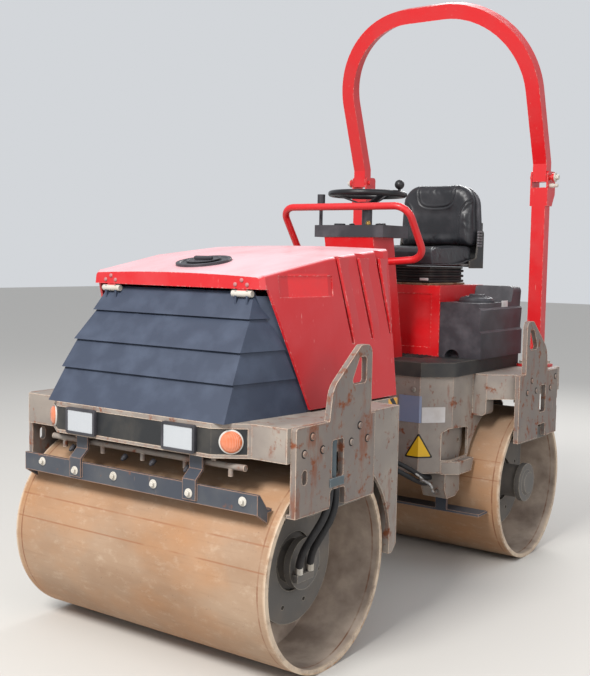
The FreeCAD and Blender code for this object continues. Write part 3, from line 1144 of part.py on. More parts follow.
node("backrest_bracket", fuse("backrest_bracket_whole", bracket_back, *ears))
# Tank's outer flank, from the foot up: height share and how far out, in rib steps.
TANK_RIBS = ((0.0, 1.0), (0.36, 1.0), (0.39, 0.0), (0.68, 0.6), (0.71, -0.6), (1.0, 0.0))
tank_side = s.seat_box_half + s.tank_width
tank_profile = [(s.seat_box_half, floor_top + s.tank_high), (s.seat_box_half, floor_top)]
tank_profile += [(tank_side + s.tank_rib * step, floor_top + s.tank_high * share) for share, step in TANK_RIBS]
cap_centre = {"x": s.seat_box_half + s.tank_width / 2, "y": s.tank_cap_back}
for side, sign in (("left", 1), ("right", -1)):
    blank = plate(f"{side}_tank_body", "front", tank_profile, (s.tank_front, s.platform_back), ((7, 26), (0, 12)))
    above = plate(f"{side}_tank_above", "side", [
        (s.tank_front - 1, floor_top + s.tank_low), (s.tank_step, floor_top + s.tank_low),
        (s.tank_step + 20, floor_top + s.tank_high + 1), (s.tank_front - 1, floor_top + s.tank_high + 1)],
        (s.seat_box_half - 1, tank_side + 30))
    tools = [above, rod(f"{side}_tank_arch", "y", s.tank_arch, (s.tank_front - 1, s.tank_front + 45),
                        x=s.seat_box_half + 68, z=floor_top)]
    if sign > 0:
        tools.append(rod("tank_cap_sink", "z", s.tank_cap_radius + 9,
                         (floor_top + s.tank_low - s.tank_sink, floor_top + s.tank_low + 1), **cap_centre))
    tank = cut(f"{side}_tank_whole", blank, *tools)
    if sign < 0:
        tank = mirrored("right_tank_mirrored", tank, "x")
    node(f"{side}_tank", tank)
cap_low = floor_top + s.tank_low - s.tank_sink
CAP = ((0, 0), (0, s.tank_cap_radius), (s.tank_sink + 10, s.tank_cap_radius),
       (s.tank_sink + s.tank_cap_height - 4, s.tank_cap_radius - 6),
       (s.tank_sink + s.tank_cap_height, s.tank_cap_radius - 14),
       (s.tank_sink + s.tank_cap_height, 0))
tank_cap = turned("tank_cap_body", "front", CAP, "H_Axis")
tank_cap.Placement = FreeCAD.Placement(FreeCAD.Vector(), FreeCAD.Rotation(FreeCAD.Vector(0, 1, 0), -90))
node("tank_cap", place(tank_cap, z=cap_low, **cap_centre))

# Console with its panel, column, steering wheel and hand rail.
console_back = s.console_front + s.console_depth
pedestal = plate("console_body", "side",
                 [(s.console_front + s.console_foot, floor_top), (console_back + s.console_foot, floor_top),
                  (console_back, s.panel_height), (s.console_front - 10, s.panel_height)],
                 (-s.console_half, s.console_half))
node("console", pedestal)
panel_top = s.panel_height + s.panel_wall
node("instrument_panel", box("instrument_panel_body", (-s.panel_half, s.panel_half),
                             (s.console_front - 14, console_back + 40), (s.panel_height, panel_top)))
column_top = s.wheel_height - s.wheel_dish
node("steering_column", rod("steering_column_body", "z", s.column_radius, (panel_top, column_top - s.fit_gap),
                            y=s.wheel_back))
rim = doc.addObject("Part::Torus", "wheel_rim_body")
bind(rim, "Radius1", s.wheel_radius)
bind(rim, "Radius2", s.wheel_rim)
place(rim, 0, s.wheel_back, s.wheel_height)
hub = rod("wheel_hub", "z", s.wheel_hub_radius, (column_top, column_top + 34), y=s.wheel_back)
spokes = []
for number, angle in enumerate((90, 210, 330)):
    spoke = doc.addObject("Part::Box", f"wheel_spoke{number}")
    bind(spoke, "Length", s.wheel_radius)
    spoke.Width, spoke.Height = 30, 7
    spoke.Placement = FreeCAD.Placement(
        FreeCAD.Vector(), FreeCAD.Rotation(FreeCAD.Vector(0, 0, 1), angle)
        * FreeCAD.Rotation(FreeCAD.Vector(0, 1, 0), -math.degrees(math.atan2(s.wheel_dish.value - 12,
                                                                            s.wheel_radius.value))))
    side_step = spoke.Placement.Rotation.multVec(FreeCAD.Vector(0, -15, 0))
    place(spoke, side_step.x, s.wheel_back + side_step.y, column_top + 12)
    spokes.append(spoke)
knob = doc.addObject("Part::Sphere", "wheel_knob")
bind(knob, "Radius", s.knob_radius)
knob_z = s.wheel_height + s.wheel_rim + s.knob_radius + 4
place(knob, s.wheel_radius, s.wheel_back, knob_z)
stem = rod("wheel_knob_stem", "z", 7, (s.wheel_height, knob_z), x=s.wheel_radius, y=s.wheel_back)
node("steering_wheel", fuse("steering_wheel_whole", rim, hub, *spokes, stem, knob))
node("travel_lever", fuse("travel_lever_whole",
                          rod("lever_stem", "z", s.lever_radius, (panel_top, panel_top + s.lever_height),
                              x=-s.panel_half + 20, y=s.console_front + 6),
                          rod("lever_grip", "z", s.lever_radius * 2.2,
                              (panel_top + s.lever_height - 10, panel_top + s.lever_height + 60),
                              x=-s.panel_half + 20, y=s.console_front + 6)))


def bent_tube(name, points, bend, radius, room=0):
    """A round tube along straight runs with bends, as one sweep."""
    spots = [FreeCAD.Vector(*(as_size(v).value for v in point)) for point in points]
    edges, last = [], spots[0]
    for before, here, after in zip(spots, spots[1:], spots[2:]):
        first, second = (before - here).normalize(), (after - here).normalize()
        reach = bend / math.tan(first.getAngle(second) / 2)
        start, end = here + first * reach, here + second * reach
        middle = (first + second).normalize()
        centre = here + middle * (bend / math.sin(first.getAngle(second) / 2))
        edges += [Part.LineSegment(last, start).toShape(),
                  Part.Arc(start, centre - middle * bend, end).toShape()]
        last = end
    edges.append(Part.LineSegment(last, spots[-1]).toShape())
    wire = Part.Wire(edges)
    ring = Part.Wire(Part.makeCircle(radius, spots[0], spots[1] - spots[0]))
    return wire.makePipeShell([ring], True, True)


rail_half, rail_r = s.rail_half, s.rail_radius.value
rail_points = [(s.console_half - 30, s.rail_back + 130, s.rail_foot - 20),
               (rail_half, s.rail_foot_back, s.rail_foot),
               (rail_half - 4, s.rail_back, s.rail_height)]
rail_points += [(-x, y, z) for x, y, z in reversed(rail_points)]
rail = bent_tube("hand_rail", rail_points, s.rail_bend.value, rail_r)
between = Part.makeBox(2 * s.console_half.value, 800, 800, FreeCAD.Vector(
    -s.console_half.value, s.rail_back.value, s.rail_foot.value - 400))
upper = Part.makeBox(2 * s.console_half.value, 800, 800, FreeCAD.Vector(
    -s.console_half.value, s.rail_back.value, s.panel_height.value))
node("hand_rail", solid_part("hand_rail_tube", rail.cut(between.cut(upper))))

# Roll bar: two lower posts and a folding hoop.
for side, sign in (("left", 1), ("right", -1)):
    x = sign * s.post_side
    outer_post = box(f"{side}_post_tube", (x - s.post_width / 2, x + s.post_width / 2),
                     (s.post_back - s.post_depth / 2, s.post_back + s.post_depth / 2),
                     (rear_top, post_top))
    inside, outside = x - s.post_width / 2, x + s.post_width / 2
    cheek_low = s.hinge_height - s.hinge_plate
    hinge_cheeks = [plate(f"{side}_hinge_cheek{number}", "side", [
        (s.post_back - s.post_depth / 2, cheek_low), (s.post_back + s.post_depth / 2, cheek_low),
        (s.post_back + s.post_depth / 2 + s.hinge_back, cheek_low + 60),
        (s.post_back + s.post_depth / 2 + s.hinge_back, s.hinge_height + s.hinge_radius),
        (s.post_back - s.post_depth / 2, s.hinge_height + s.hinge_radius)], ends, ((3, 16), (4, 16)))
        for number, ends in enumerate(((inside - 10, inside - s.cheek_gap), (outside + s.cheek_gap, outside + 10)))]
    pads = [box(f"{side}_post_pad{n}", (x + n * (s.post_width / 2) - 2.5, x + n * (s.post_width / 2) + 2.5),
                (s.post_back - s.post_depth / 2, s.post_back + s.post_depth / 2),
                (cheek_low, post_top)) for n in (1, -1)]
    pin_post = rod(f"{side}_post_pin", "x", 12, (x - s.post_width / 2 - 20, x + s.post_width / 2 + 20),
                   y=s.post_back, z=s.hinge_height)
    knob_low, knob_high = s.post_width / 2 + 10, s.post_width / 2 + s.knob_reach
    knob_neck = rod(f"{side}_post_knob_neck", "x", 12, ordered(x + sign * knob_low, x + sign * knob_high),
                    y=s.post_back, z=s.hinge_height)
    knob = rod(f"{side}_post_knob", "x", 20, ordered(x + sign * (knob_low + 12), x + sign * knob_high),
               y=s.post_back, z=s.hinge_height)
    foot_post = box(f"{side}_post_foot_plate", (x - s.post_width, x + s.post_width),
                    (s.post_back - s.post_depth, s.post_back + s.post_depth), (rear_top, rear_top + s.post_foot))
    node(f"{side}_roll_bar_post", fuse(f"{side}_post_whole", outer_post, *hinge_cheeks, pin_post, knob_neck, knob,
                                            foot_post, *pads))

hoop_low = (s.hinge_height - s.hoop_under).value
lean = math.radians(s.hoop_lean.value)
bend_z, top_run = (s.hinge_height + s.hoop_rise).value, s.hoop_length.value
side_x, post_y = s.post_side.value, s.post_back.value


def hoop_frame(width, depth):
    """The hoop as a sweep of its rectangular tube."""
    def leaning(x, run):
        return FreeCAD.Vector(x, post_y - math.sin(lean) * run, bend_z + math.cos(lean) * run)

    r = s.hoop_radius.value
    start, elbow = FreeCAD.Vector(side_x, post_y, hoop_low), leaning(side_x, 0)
    half = r * (1 - math.cos(math.pi / 4))
    up, over = leaning(side_x, top_run - r), leaning(side_x - r, top_run)
    mid = leaning(side_x - half, top_run - half)
    flip = [FreeCAD.Vector(-p.x, p.y, p.z) for p in (start, elbow, up, over, mid)]
    edges = [Part.LineSegment(start, elbow), Part.LineSegment(elbow, up), Part.Arc(up, mid, over),
             Part.LineSegment(over, flip[3]), Part.Arc(flip[3], flip[4], flip[2]),
             Part.LineSegment(flip[2], flip[1]), Part.LineSegment(flip[1], flip[0])]
    path = Part.Wire([edge.toShape() for edge in edges])
    corners = [FreeCAD.Vector(side_x + dx * width / 2, post_y + dy * depth / 2, hoop_low)
               for dx, dy in ((1, 1), (-1, 1), (-1, -1), (1, -1), (1, 1))]
    return path.makePipeShell([Part.makePolygon(corners)], True, False, 1)


hoop = hoop_frame(s.post_width.value, s.post_depth.value)
for sign in (1, -1):
    hoop = hoop.cut(Part.makeCylinder(12 + s.fit_gap.value, 120, FreeCAD.Vector(sign * side_x - 60, post_y,
                                                                                s.hinge_height.value),
                                      FreeCAD.Vector(1, 0, 0)))
node("roll_bar_hoop", solid_part("roll_bar_hoop_tube", hoop))

doc.recompute()
faults = []
for piece in doc.Objects:
    if any(word in piece.State for word in ("Invalid", "Error")):
        faults.append(f"{piece.Name}: {piece.State}")
for label, piece in nodes.items():
    if piece.Shape.isNull():
        faults.append(f"{label}: no shape")
    elif not piece.Shape.isValid() or len(piece.Shape.Solids) != 1:
        faults.append(f"{label}: {len(piece.Shape.Solids)} solids, valid {piece.Shape.isValid()}")
if faults:
    raise RuntimeError("; ".join(faults))
os.makedirs("parts", exist_ok=True)
for label, piece in nodes.items():
    piece.Shape.exportStep(f"parts/{label}.step")
print(len(nodes), "pieces written")
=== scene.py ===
"""Looks of the tandem road roller: finishes, small pieces, light and camera."""
import bpy
import math
from mathutils import Matrix, Vector
from mathutils.bvhtree import BVHTree
from mathutils.kdtree import KDTree


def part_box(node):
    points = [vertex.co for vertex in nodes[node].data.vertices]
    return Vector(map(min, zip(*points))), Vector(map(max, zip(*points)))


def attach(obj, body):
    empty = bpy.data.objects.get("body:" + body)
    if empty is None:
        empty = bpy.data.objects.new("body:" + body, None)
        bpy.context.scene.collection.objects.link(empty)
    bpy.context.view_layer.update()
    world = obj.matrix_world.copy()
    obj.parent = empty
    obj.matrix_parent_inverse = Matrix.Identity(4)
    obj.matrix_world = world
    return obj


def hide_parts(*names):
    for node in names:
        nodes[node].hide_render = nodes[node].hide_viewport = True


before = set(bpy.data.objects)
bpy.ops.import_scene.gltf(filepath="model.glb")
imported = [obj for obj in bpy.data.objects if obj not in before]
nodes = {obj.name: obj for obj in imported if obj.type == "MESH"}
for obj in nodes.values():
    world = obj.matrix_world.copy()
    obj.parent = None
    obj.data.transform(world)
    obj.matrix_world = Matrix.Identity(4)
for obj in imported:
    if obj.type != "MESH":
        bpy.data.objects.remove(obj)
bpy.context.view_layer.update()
MATH, RANGE = "ShaderNodeMath", "ShaderNodeMapRange"


def colour(hex_text, alpha=1.0):
    """sRGB hex to the linear values that Blender's sockets take."""
    parts = [int(hex_text[i:i + 2], 16) / 255 for i in (1, 3, 5)]
    return tuple(c / 12.92 if c <= 0.04045 else ((c + 0.055) / 1.055) ** 2.4 for c in parts) + (alpha,)


def per_mm(size):
    """The texture scale that makes a pattern's grain this many millimetres."""
    return 1000.0 / size


def add(tree, kind, sockets=(), out=0, **settings):
    """Add a node with its settings; each socket gets a value or another node's output. Gives one output."""
    made = tree.nodes.new(kind)
    for name, value in settings.items():
        setattr(made, name, value)
    for socket, value in dict(sockets).items():
        if isinstance(value, bpy.types.NodeSocket):
            tree.links.new(value, made.inputs[socket])
        else:
            made.inputs[socket].default_value = value
    return made.outputs[out]


def start(name, **values):
    """An empty material with its shader; values are the shader's own sockets."""
    mat = bpy.data.materials.new(name)
    mat.use_nodes = True
    shader = mat.node_tree.nodes["Principled BSDF"]
    for socket, value in values.items():
        shader.inputs[socket.replace("_", " ").title() if socket != "ior" else "IOR"].default_value = value
    return mat, mat.node_tree, shader


def ramp(low, high, to_low=0.0, to_high=1.0):
    """What a range node needs to go from one level of a pattern to another."""
    return {"From Min": low, "From Max": high, "To Min": to_low, "To Max": to_high}


def axes_of(tree, coordinate="Object"):
    """The x, y and z of a surface's place in metres, or of its normal."""
    place = add(tree, "ShaderNodeTexCoord", out=coordinate)
    return add(tree, "ShaderNodeSeparateXYZ", {"Vector": place}).node.outputs


def patches(tree, size, levels=None, shades=(0.0, 1.0), detail=4.0, rough=0.55, squeeze=None, shift=0.0):
    """Grey patches of a size in millimetres; between two levels of the noise they go from shade to shade.

    squeeze draws them out along an axis, and shift takes them from another part of the noise."""
    place = add(tree, "ShaderNodeTexCoord", out="Object")
    if squeeze or shift:
        place = add(tree, "ShaderNodeMapping", {"Vector": place, "Scale": squeeze or (1, 1, 1),
                                                "Location": (shift, shift, shift)})
    noise = add(tree, "ShaderNodeTexNoise", {"Vector": place, "Scale": per_mm(size), "Detail": detail,
                                             "Roughness": rough}, out="Fac")
    return add(tree, RANGE, {"Value": noise, **ramp(*levels, *shades)}) if levels else noise


def coats(tree, base, *layers):
    """Lay colours over a base one after another, each where its grey pattern is bright."""
    base = colour(base) if isinstance(base, str) else base
    for pattern, tint in layers:
        tint = colour(tint) if isinstance(tint, str) else tint
        base = add(tree, "ShaderNodeMix", {0: pattern, 6: base, 7: tint}, out=2, data_type="RGBA")
    return base


def edges(tree, reach):
    """Bright along edges, out to a reach in millimetres: where paint wears off."""
    rounded = add(tree, "ShaderNodeBevel", {"Radius": reach / 1000}, samples=4)
    flat = add(tree, "ShaderNodeNewGeometry", out="Normal")
    same = add(tree, "ShaderNodeVectorMath", {0: rounded, 1: flat}, out="Value", operation="DOT_PRODUCT")
    return add(tree, RANGE, {"Value": same, **ramp(0.995, 0.86)})


def within(tree, coordinate, low, high, soft=0.003):
    """1 between two places along a coordinate and 0 outside, with a soft border."""
    enter = add(tree, RANGE, {"Value": coordinate, **ramp(low - soft, low + soft)})
    leave = add(tree, RANGE, {"Value": coordinate, **ramp(high - soft, high + soft, 1.0, 0.0)})
    return add(tree, MATH, {0: enter, 1: leave}, operation="MULTIPLY")


def surface(tree, shader, base, rough=None, relief=None, depth=0.0, strength=1.0):
    """Give the shader its colour and roughness, and raise its relief by a depth in millimetres."""
    tree.links.new(base, shader.inputs["Base Color"])
    if rough:
        tree.links.new(rough, shader.inputs["Roughness"])
    if relief:
        raised = add(tree, "ShaderNodeBump", {"Height": relief, "Strength": strength,
                                              "Distance": depth / 1000})
        tree.links.new(raised, shader.inputs["Normal"])


def weathered_paint(name, paint, dust, worn, rust, wear=0.8, rusting=0.62, rough=0.45, coat=0.0, fade_and_sheen=None,
                    runs=None, patch=None):
    """Sprayed machine enamel: dust in broad clouds, worn edges, rust where chips went through.

    paint, dust, worn and rust are colours. wear is how much of the edges is bare. rusting and runs are how
    little rusts in spots and how little rust runs down. The fade colour goes on faces that look up: partly
    sun fading, partly a painted sheen of sky and sun on the tops.
    patch is a box (y low, y high, z low, z high) that stayed covered, and its brighter colour."""
    mat, tree, shader = start(name, Roughness=rough, ior=1.5, Coat_weight=coat, Coat_roughness=0.2)
    base = paint
    if patch:
        place = axes_of(tree)
        kept = add(tree, MATH, {0: within(tree, place["Y"], *patch[:2]),
                                1: within(tree, place["Z"], *patch[2:4])}, operation="MULTIPLY")
        base = coats(tree, base, (kept, patch[4]))
    cloud = patches(tree, 150, (0.42, 0.72), (0.0, 0.75), 6)
    base = coats(tree, base, (cloud, dust))
    # Faces that look up go pale pink: partly sun fading, partly a painted sheen of sky and sun on the tops.
    if fade_and_sheen:
        up = add(tree, RANGE, {"Value": axes_of(tree, "Normal")["Z"], **ramp(0.45, 0.93)})
        fade_and_sheen_clouds = patches(tree, 210, (0.28, 0.62), (0.68, 1.0), squeeze=(1.0, 0.45, 1.0))
        base = coats(tree, base, (add(tree, MATH, {0: up, 1: fade_and_sheen_clouds}, operation="MULTIPLY"), fade_and_sheen))
    scratches = patches(tree, 7, (0.70, 0.78), (0.0, 0.35), 2, 0.5, (1.0, 1.0, 0.12), 5.3)
    base = coats(tree, base, (scratches, worn))
    if runs:
        run = patches(tree, 75, (runs, runs + 0.12), (0.0, 0.75), 7, 0.66, (1.0, 1.0, 0.28), 2.2)
        border = patches(tree, 38, (0.46, 0.60), detail=6, rough=0.7, shift=7.7)
        border = add(tree, MATH, {0: edges(tree, 16), 1: border}, operation="MULTIPLY")
        base = coats(tree, base, (add(tree, MATH, {0: run, 1: border}, operation="MAXIMUM"), rust))
    bare = patches(tree, 14, (0.60 - 0.3 * wear, 0.72 - 0.3 * wear), detail=5, rough=0.7)
    bare = add(tree, MATH, {0: edges(tree, 5), 1: bare}, operation="MULTIPLY")
    spots = patches(tree, 55, (rusting, rusting + 0.09), detail=9, rough=0.68, shift=3.1)
    duller = add(tree, MATH, {0: cloud, 1: spots}, operation="MAXIMUM")
    duller = add(tree, RANGE, {"Value": duller, **ramp(0, 1, rough, min(0.95, rough + 0.35))})
    base = coats(tree, base, (bare, worn), (spots, rust))
    surface(tree, shader, base, duller, patches(tree, 3.5, detail=3), 0.25, 0.35)
    return mat


def moulded(name, tone, dust, rough=0.5, texture_mm=1.6, depth=0.15):
    """Moulded plastic or rubber: even colour, fine mould texture, dust in the hollows.

    The texture is drawn a few times coarser than the real one, which would not show."""
    mat, tree, shader = start(name, Roughness=rough, ior=1.46)
    cloud = patches(tree, 90, (0.42, 0.75), (0.0, 0.6), 5)
    duller = add(tree, RANGE, {"Value": cloud, **ramp(0, 1, rough, rough + 0.25)})
    base = coats(tree, tone, (cloud, dust))
    surface(tree, shader, base, duller, patches(tree, texture_mm, detail=2), depth, 0.5)
    return mat


AXLE_BACK, AXLE_HIGH, SHELL_OUTER, DRUM_END = 0.875, 0.360, 0.3595, 0.600
ROLLED_LINES = (0.506, 0.424)  # heights of the brown lines that run along each drum


def rolled_steel():
    """Drum shell: steel rolled to a satin by the ground and filmed with tan dust, streaked along its width.

    Inside it is a dull grey-brown. Its ends are bright where they rub, with a brown line near each."""
    mat, tree, shader = start("rolled_drum_steel", Roughness=0.6)
    place = axes_of(tree)
    scuff = patches(tree, 34, (0.54, 0.74), (0.0, 0.30), 8, 0.75, (0.6, 1, 1), 1.7)
    base = coats(tree, "#AC927A",
                 (patches(tree, 260, (0.30, 0.70), detail=5, squeeze=(0.55, 1, 1)), "#8F7056"),
                 (patches(tree, 320, (0.42, 0.70), (0.0, 0.55), 6, 0.55, (0.6, 1, 1), 4.4), "#B67B45"),
                 (patches(tree, 11, (0.56, 0.80), (0.0, 0.30), 4, 0.6, (0.07, 1, 1)), "#7E6048"),
                 (scuff, "#D3C2AC"),
                 (patches(tree, 9, (0.66, 0.74), (0.0, 0.6), 3, 0.7, shift=9.1), "#5E4F44"))
    for low in ROLLED_LINES:
        broken = patches(tree, 130, (0.36, 0.52), (0.1, 0.75), shift=low)
        mark = within(tree, place["Z"], low, low + 0.004, 0.002)
        mark = add(tree, MATH, {0: mark, 1: broken}, operation="MULTIPLY")
        base = coats(tree, base, (mark, "#8A5636"))
    reach = add(tree, MATH, {0: place["Y"]}, operation="ABSOLUTE")
    reach = add(tree, MATH, {0: reach, 1: AXLE_BACK}, operation="SUBTRACT")
    rise = add(tree, MATH, {0: place["Z"], 1: AXLE_HIGH}, operation="SUBTRACT")
    both = add(tree, "ShaderNodeCombineXYZ", {"X": reach, "Y": rise})
    radius = add(tree, "ShaderNodeVectorMath", {0: both}, out="Value", operation="LENGTH")
    inside = add(tree, RANGE, {"Value": radius, **ramp(SHELL_OUTER - 0.008, SHELL_OUTER - 0.005, 1.0, 0.0)})
    lining = coats(tree, "#B9A899", (patches(tree, 120, (0.35, 0.65), detail=7), "#8C7C70"))
    end = add(tree, MATH, {0: place["X"]}, operation="ABSOLUTE")
    rubbed = add(tree, RANGE, {"Value": end, **ramp(DRUM_END - 0.012, DRUM_END - 0.001)})
    rubbed = add(tree, MATH, {0: rubbed, 1: patches(tree, 45, (0.34, 0.55), detail=6, rough=0.7)},
                 operation="MULTIPLY")
    line = add(tree, MATH, {0: within(tree, end, DRUM_END - 0.034, DRUM_END - 0.028, 0.001),
                            1: patches(tree, 60, (0.4, 0.6), (0.2, 0.8))}, operation="MULTIPLY")
    base = coats(tree, base, (inside, lining), (rubbed, "#C9B59E"), (line, "#7A4A2C"))
    shine = add(tree, RANGE, {"Value": scuff, **ramp(0, 1, 0.68, 0.42)})
    surface(tree, shader, base, shine, patches(tree, 8, detail=6, rough=0.7, squeeze=(0.35, 1, 1)), 0.5, 0.5)
    return mat


def lens(name, tone, contrast, rough=0.12, flute=0.004):
    """Moulded lens over a bright reflector, drawn as a glossy surface with upright flutes, each paled toward
    white as a painted glint of the reflector.
    """
    mat, tree, shader = start(name, Roughness=rough, ior=1.49, Coat_weight=0.8)
    place = add(tree, "ShaderNodeTexCoord", out="Object")
    flutes = add(tree, "ShaderNodeTexWave", {"Vector": place, "Scale": 0.314 / flute, "Distortion": 0.0},
                 out="Fac", bands_direction="X")
    # Painted highlights: each flute is paled toward white as the reflector's glint through it.
    bright = add(tree, RANGE, {"Value": flutes, **ramp(0, 1, 0, contrast)})
    surface(tree, shader, coats(tree, tone, (bright, (1, 1, 1, 1))), None, flutes, 0.25, 0.4)
    return mat


def plated(name, tone, rough=0.3):
    """A small turned or plated metal part: bright, a little tarnished in patches."""
    mat, tree, shader = start(name, Metallic=1.0)
    tarnish = patches(tree, 12, (0.4, 0.7), detail=5)
    duller = add(tree, RANGE, {"Value": tarnish, **ramp(0, 1, rough, rough + 0.3)})
    surface(tree, shader, coats(tree, tone, (tarnish, "#6A5A48")), duller)
    return mat


def striped(name, light, dark, band):
    """Reflective sheeting with slanted bands, each band this wide in metres."""
    mat, tree, shader = start(name, Roughness=0.45)
    place = axes_of(tree)
    slant = add(tree, MATH, {0: place["Y"], 1: place["Z"]}, operation="ADD")
    turns = add(tree, MATH, {0: slant, 1: 1.414 / (2 * band)}, operation="MULTIPLY")
    share = add(tree, RANGE, {"Value": add(tree, MATH, {0: turns}, operation="FRACT"), **ramp(0.49, 0.51)})
    dust = patches(tree, 40, (0.5, 0.75), (0.0, 0.6), 6)
    surface(tree, shader, coats(tree, light, (share, dark), (dust, "#8F8678")))
    return mat


# Sprayed enamels. Each has a paint, a dust, a worn-edge and a rust colour.
# Warm grey frame enamel: matt, dusty, pale along every edge, with rust spots and runs.
grey_enamel = weathered_paint("weathered_grey_enamel", "#857C75", "#A0968B", "#D6C2AE", "#7B452B", wear=0.95,
                              rusting=0.57, rough=0.55, runs=0.585)
# The same enamel on the side plates, browner and rustier than the frames.
plate_enamel = weathered_paint("dirty_grey_enamel", "#746B66", "#8A7E74", "#D0B9A5", "#7B452B", wear=0.95,
                               rusting=0.55, rough=0.6, runs=0.535)
# Blue-grey enamel of the clamp and pipe in the plate's slot: cooler than what is round it.
blue_grey_enamel = weathered_paint("blue_grey_enamel", "#465259", "#666E70", "#8E9699", "#6B4A36", rough=0.6)
# Dusty grey enamel inside the drums: flat, and darker than the frames' grey as a painted shade for the drums'
# insides, where the sun doesn't reach.
carrier_enamel = weathered_paint("dusty_shaded_grey_enamel", "#5F5C59", "#776E65", "#A39A8C", "#5C4634", rough=0.7,
                                 rusting=0.64)
# Red gloss enamel: smooth, with a soft highlight and few chips.
red_enamel = weathered_paint("red_gloss_enamel", "#CB141B", "#C02A2C", "#D8A79B", "#6E2A1E", wear=0.35,
                             rusting=0.75, rough=0.34, coat=0.25)
# Gelcoat-like red on the moulded hood: pink where it looks up, partly bleached by the sun and partly a
# painted sheen of sky and sun; bright where a strip stayed covered.
hood_enamel = weathered_paint("sun_faded_and_sheened_red_enamel", "#C01A20", "#C23A3E", "#DDB0A8", "#7A3327", wear=0.3,
                              rusting=0.78, rough=0.36, coat=0.2, fade_and_sheen="#E4B4BA",
                              patch=(-0.885, -0.665, 1.286, 1.369, "#DC2226"))
# Black enamel on the lamp bar, tray and cylinder: satin under brown dust.
dark_enamel = weathered_paint("black_enamel", "#1E2023", "#4C4842", "#6E665C", "#4A3022", rough=0.5,
                              rusting=0.66)
# Painted flat bar of the scrapers: blue-black, its paint gone along the edges.
blade_steel = weathered_paint("dark_blade_steel", "#3A3F49", "#565759", "#B08A72", "#7B4C33", wear=1.0,
                              rough=0.5, rusting=0.62)
# Bolt heads painted with the frame: a little paler than it, with rust in spots.
worn_bolt = weathered_paint("overpainted_bolt_heads", "#7A736C", "#8F877D", "#D0C4B4", "#5A3826", wear=1.0,
                            rusting=0.56, rough=0.55)
# Zinc plate gone dull: the palest metal on the machine.
bright_bolt = weathered_paint("dulled_zinc_plate", "#C4BFB6", "#A0937F", "#DAD6CC", "#7C5436", wear=0.9,
                              rusting=0.64, rough=0.4)
# Rivets under a thin film of the hood's red.
hood_rivet = weathered_paint("faded_rivet_heads", "#A86A6C", "#8E6A66", "#C9A79F", "#5F3328", wear=0.6,
                             rusting=0.60, rough=0.5)
# Bare plate under the seat, rusted all over: brown and rough.
rusty_plate = weathered_paint("rusted_steel_plate", "#8A735A", "#A08C70", "#B79B77", "#6B4A30", wear=0.6,
                              rusting=0.52, rough=0.8, runs=0.55)

# Mouldings. Each has its own colour and that of the dust on it.
# Rotary-moulded polyethylene: even and waxy, slate blue on the grille, black on tanks, caps and panel.
slate_plastic = moulded("slate_moulded_polyethylene", "#343C4D", "#495366", 0.5)
black_plastic = moulded("black_moulded_polyethylene", "#323237", "#5E5B60", 0.45)
# Urethane of the steering wheel and switches: blacker, with a tighter shine from hands.
black_grip = moulded("black_urethane", "#16171A", "#333133", 0.35, 1.0)
# Rubber of the bellows and mat: matt, with brown dust; grey on the hinge's boot.
black_rubber = moulded("black_ribbed_rubber", "#1B1A1B", "#4E4742", 0.7, 2.0)
grey_rubber = moulded("grey_moulded_rubber", "#5D5B60", "#7B7672", 0.6, 2.0)
# Off-white moulded rims round the indicators.
pale_moulding = moulded("pale_moulded_rim", "#C9C6C0", "#9A938A", 0.5)
# Grained vinyl of the seat: soft sheen over a leather grain that catches the light on its folds.
vinyl = moulded("black_grained_vinyl", "#202125", "#3B3A3E", 0.34, 2.2, 0.30)
# Sand-cast and painted engine block: rough and dark.
casting = moulded("painted_engine_casting", "#34383C", "#4A443C", 0.6, 2.5, 0.3)
# Extruded hose cover: smooth black with dust in clouds.
hose_rubber = moulded("black_hose_rubber", "#17181B", "#3F3C3C", 0.55, 1.5)
# Printed sheets of the blank signs: flat colour, almost no relief, dust in clouds.
sheets = {name: moulded(f"{name}_printed", tone, dust, 0.4, 0.9, 0.03) for name, tone, dust in (
    # The blue-grey sheet is a pale sticker drawn in its tone under shadow: painted shade.
    ("shaded_pale_sheet", "#7D87A3", "#8D8F9B"), ("white_sheet", "#C9C6C6", "#A39A92"),
    ("black_sheet", "#1E1B17", "#3A332B"), ("yellow_sheet", "#E3B41C", "#C79A3A"))}

# Ground and chromed piston rod: a narrow bright band along it.
chrome_rod = start("ground_rod_steel", Base_color=(0.6, 0.6, 0.6, 1), Metallic=1.0, Roughness=0.22)[0]
drum_steel = rolled_steel()
# Lenses: fluted glass over a reflector in front, coloured acrylic for the indicators and rear lamps. The
# number after each colour is how strong the painted glints along the flutes are.
clear_lens = lens("fluted_headlamp_lens", "#8F959C", 0.45)
orange_lens = lens("orange_acrylic_lens", "#C9652F", 0.12, 0.2)
red_lens = lens("red_acrylic_lens", "#A01414", 0.12, 0.2)
# Brass of the key switch and zinc of the thin pipes: small warm and cool glints.
brass = plated("brass_collar", "#C9A45A")
zinc_pipe = plated("zinc_plated_pipe", "#B9BABB", 0.35)
# Glass-bead sheeting of the edge strip, amber and black bands.
striped_sheet = striped("striped_reflective_sheeting", "#D99A1E", "#1D1B1B", 0.042)


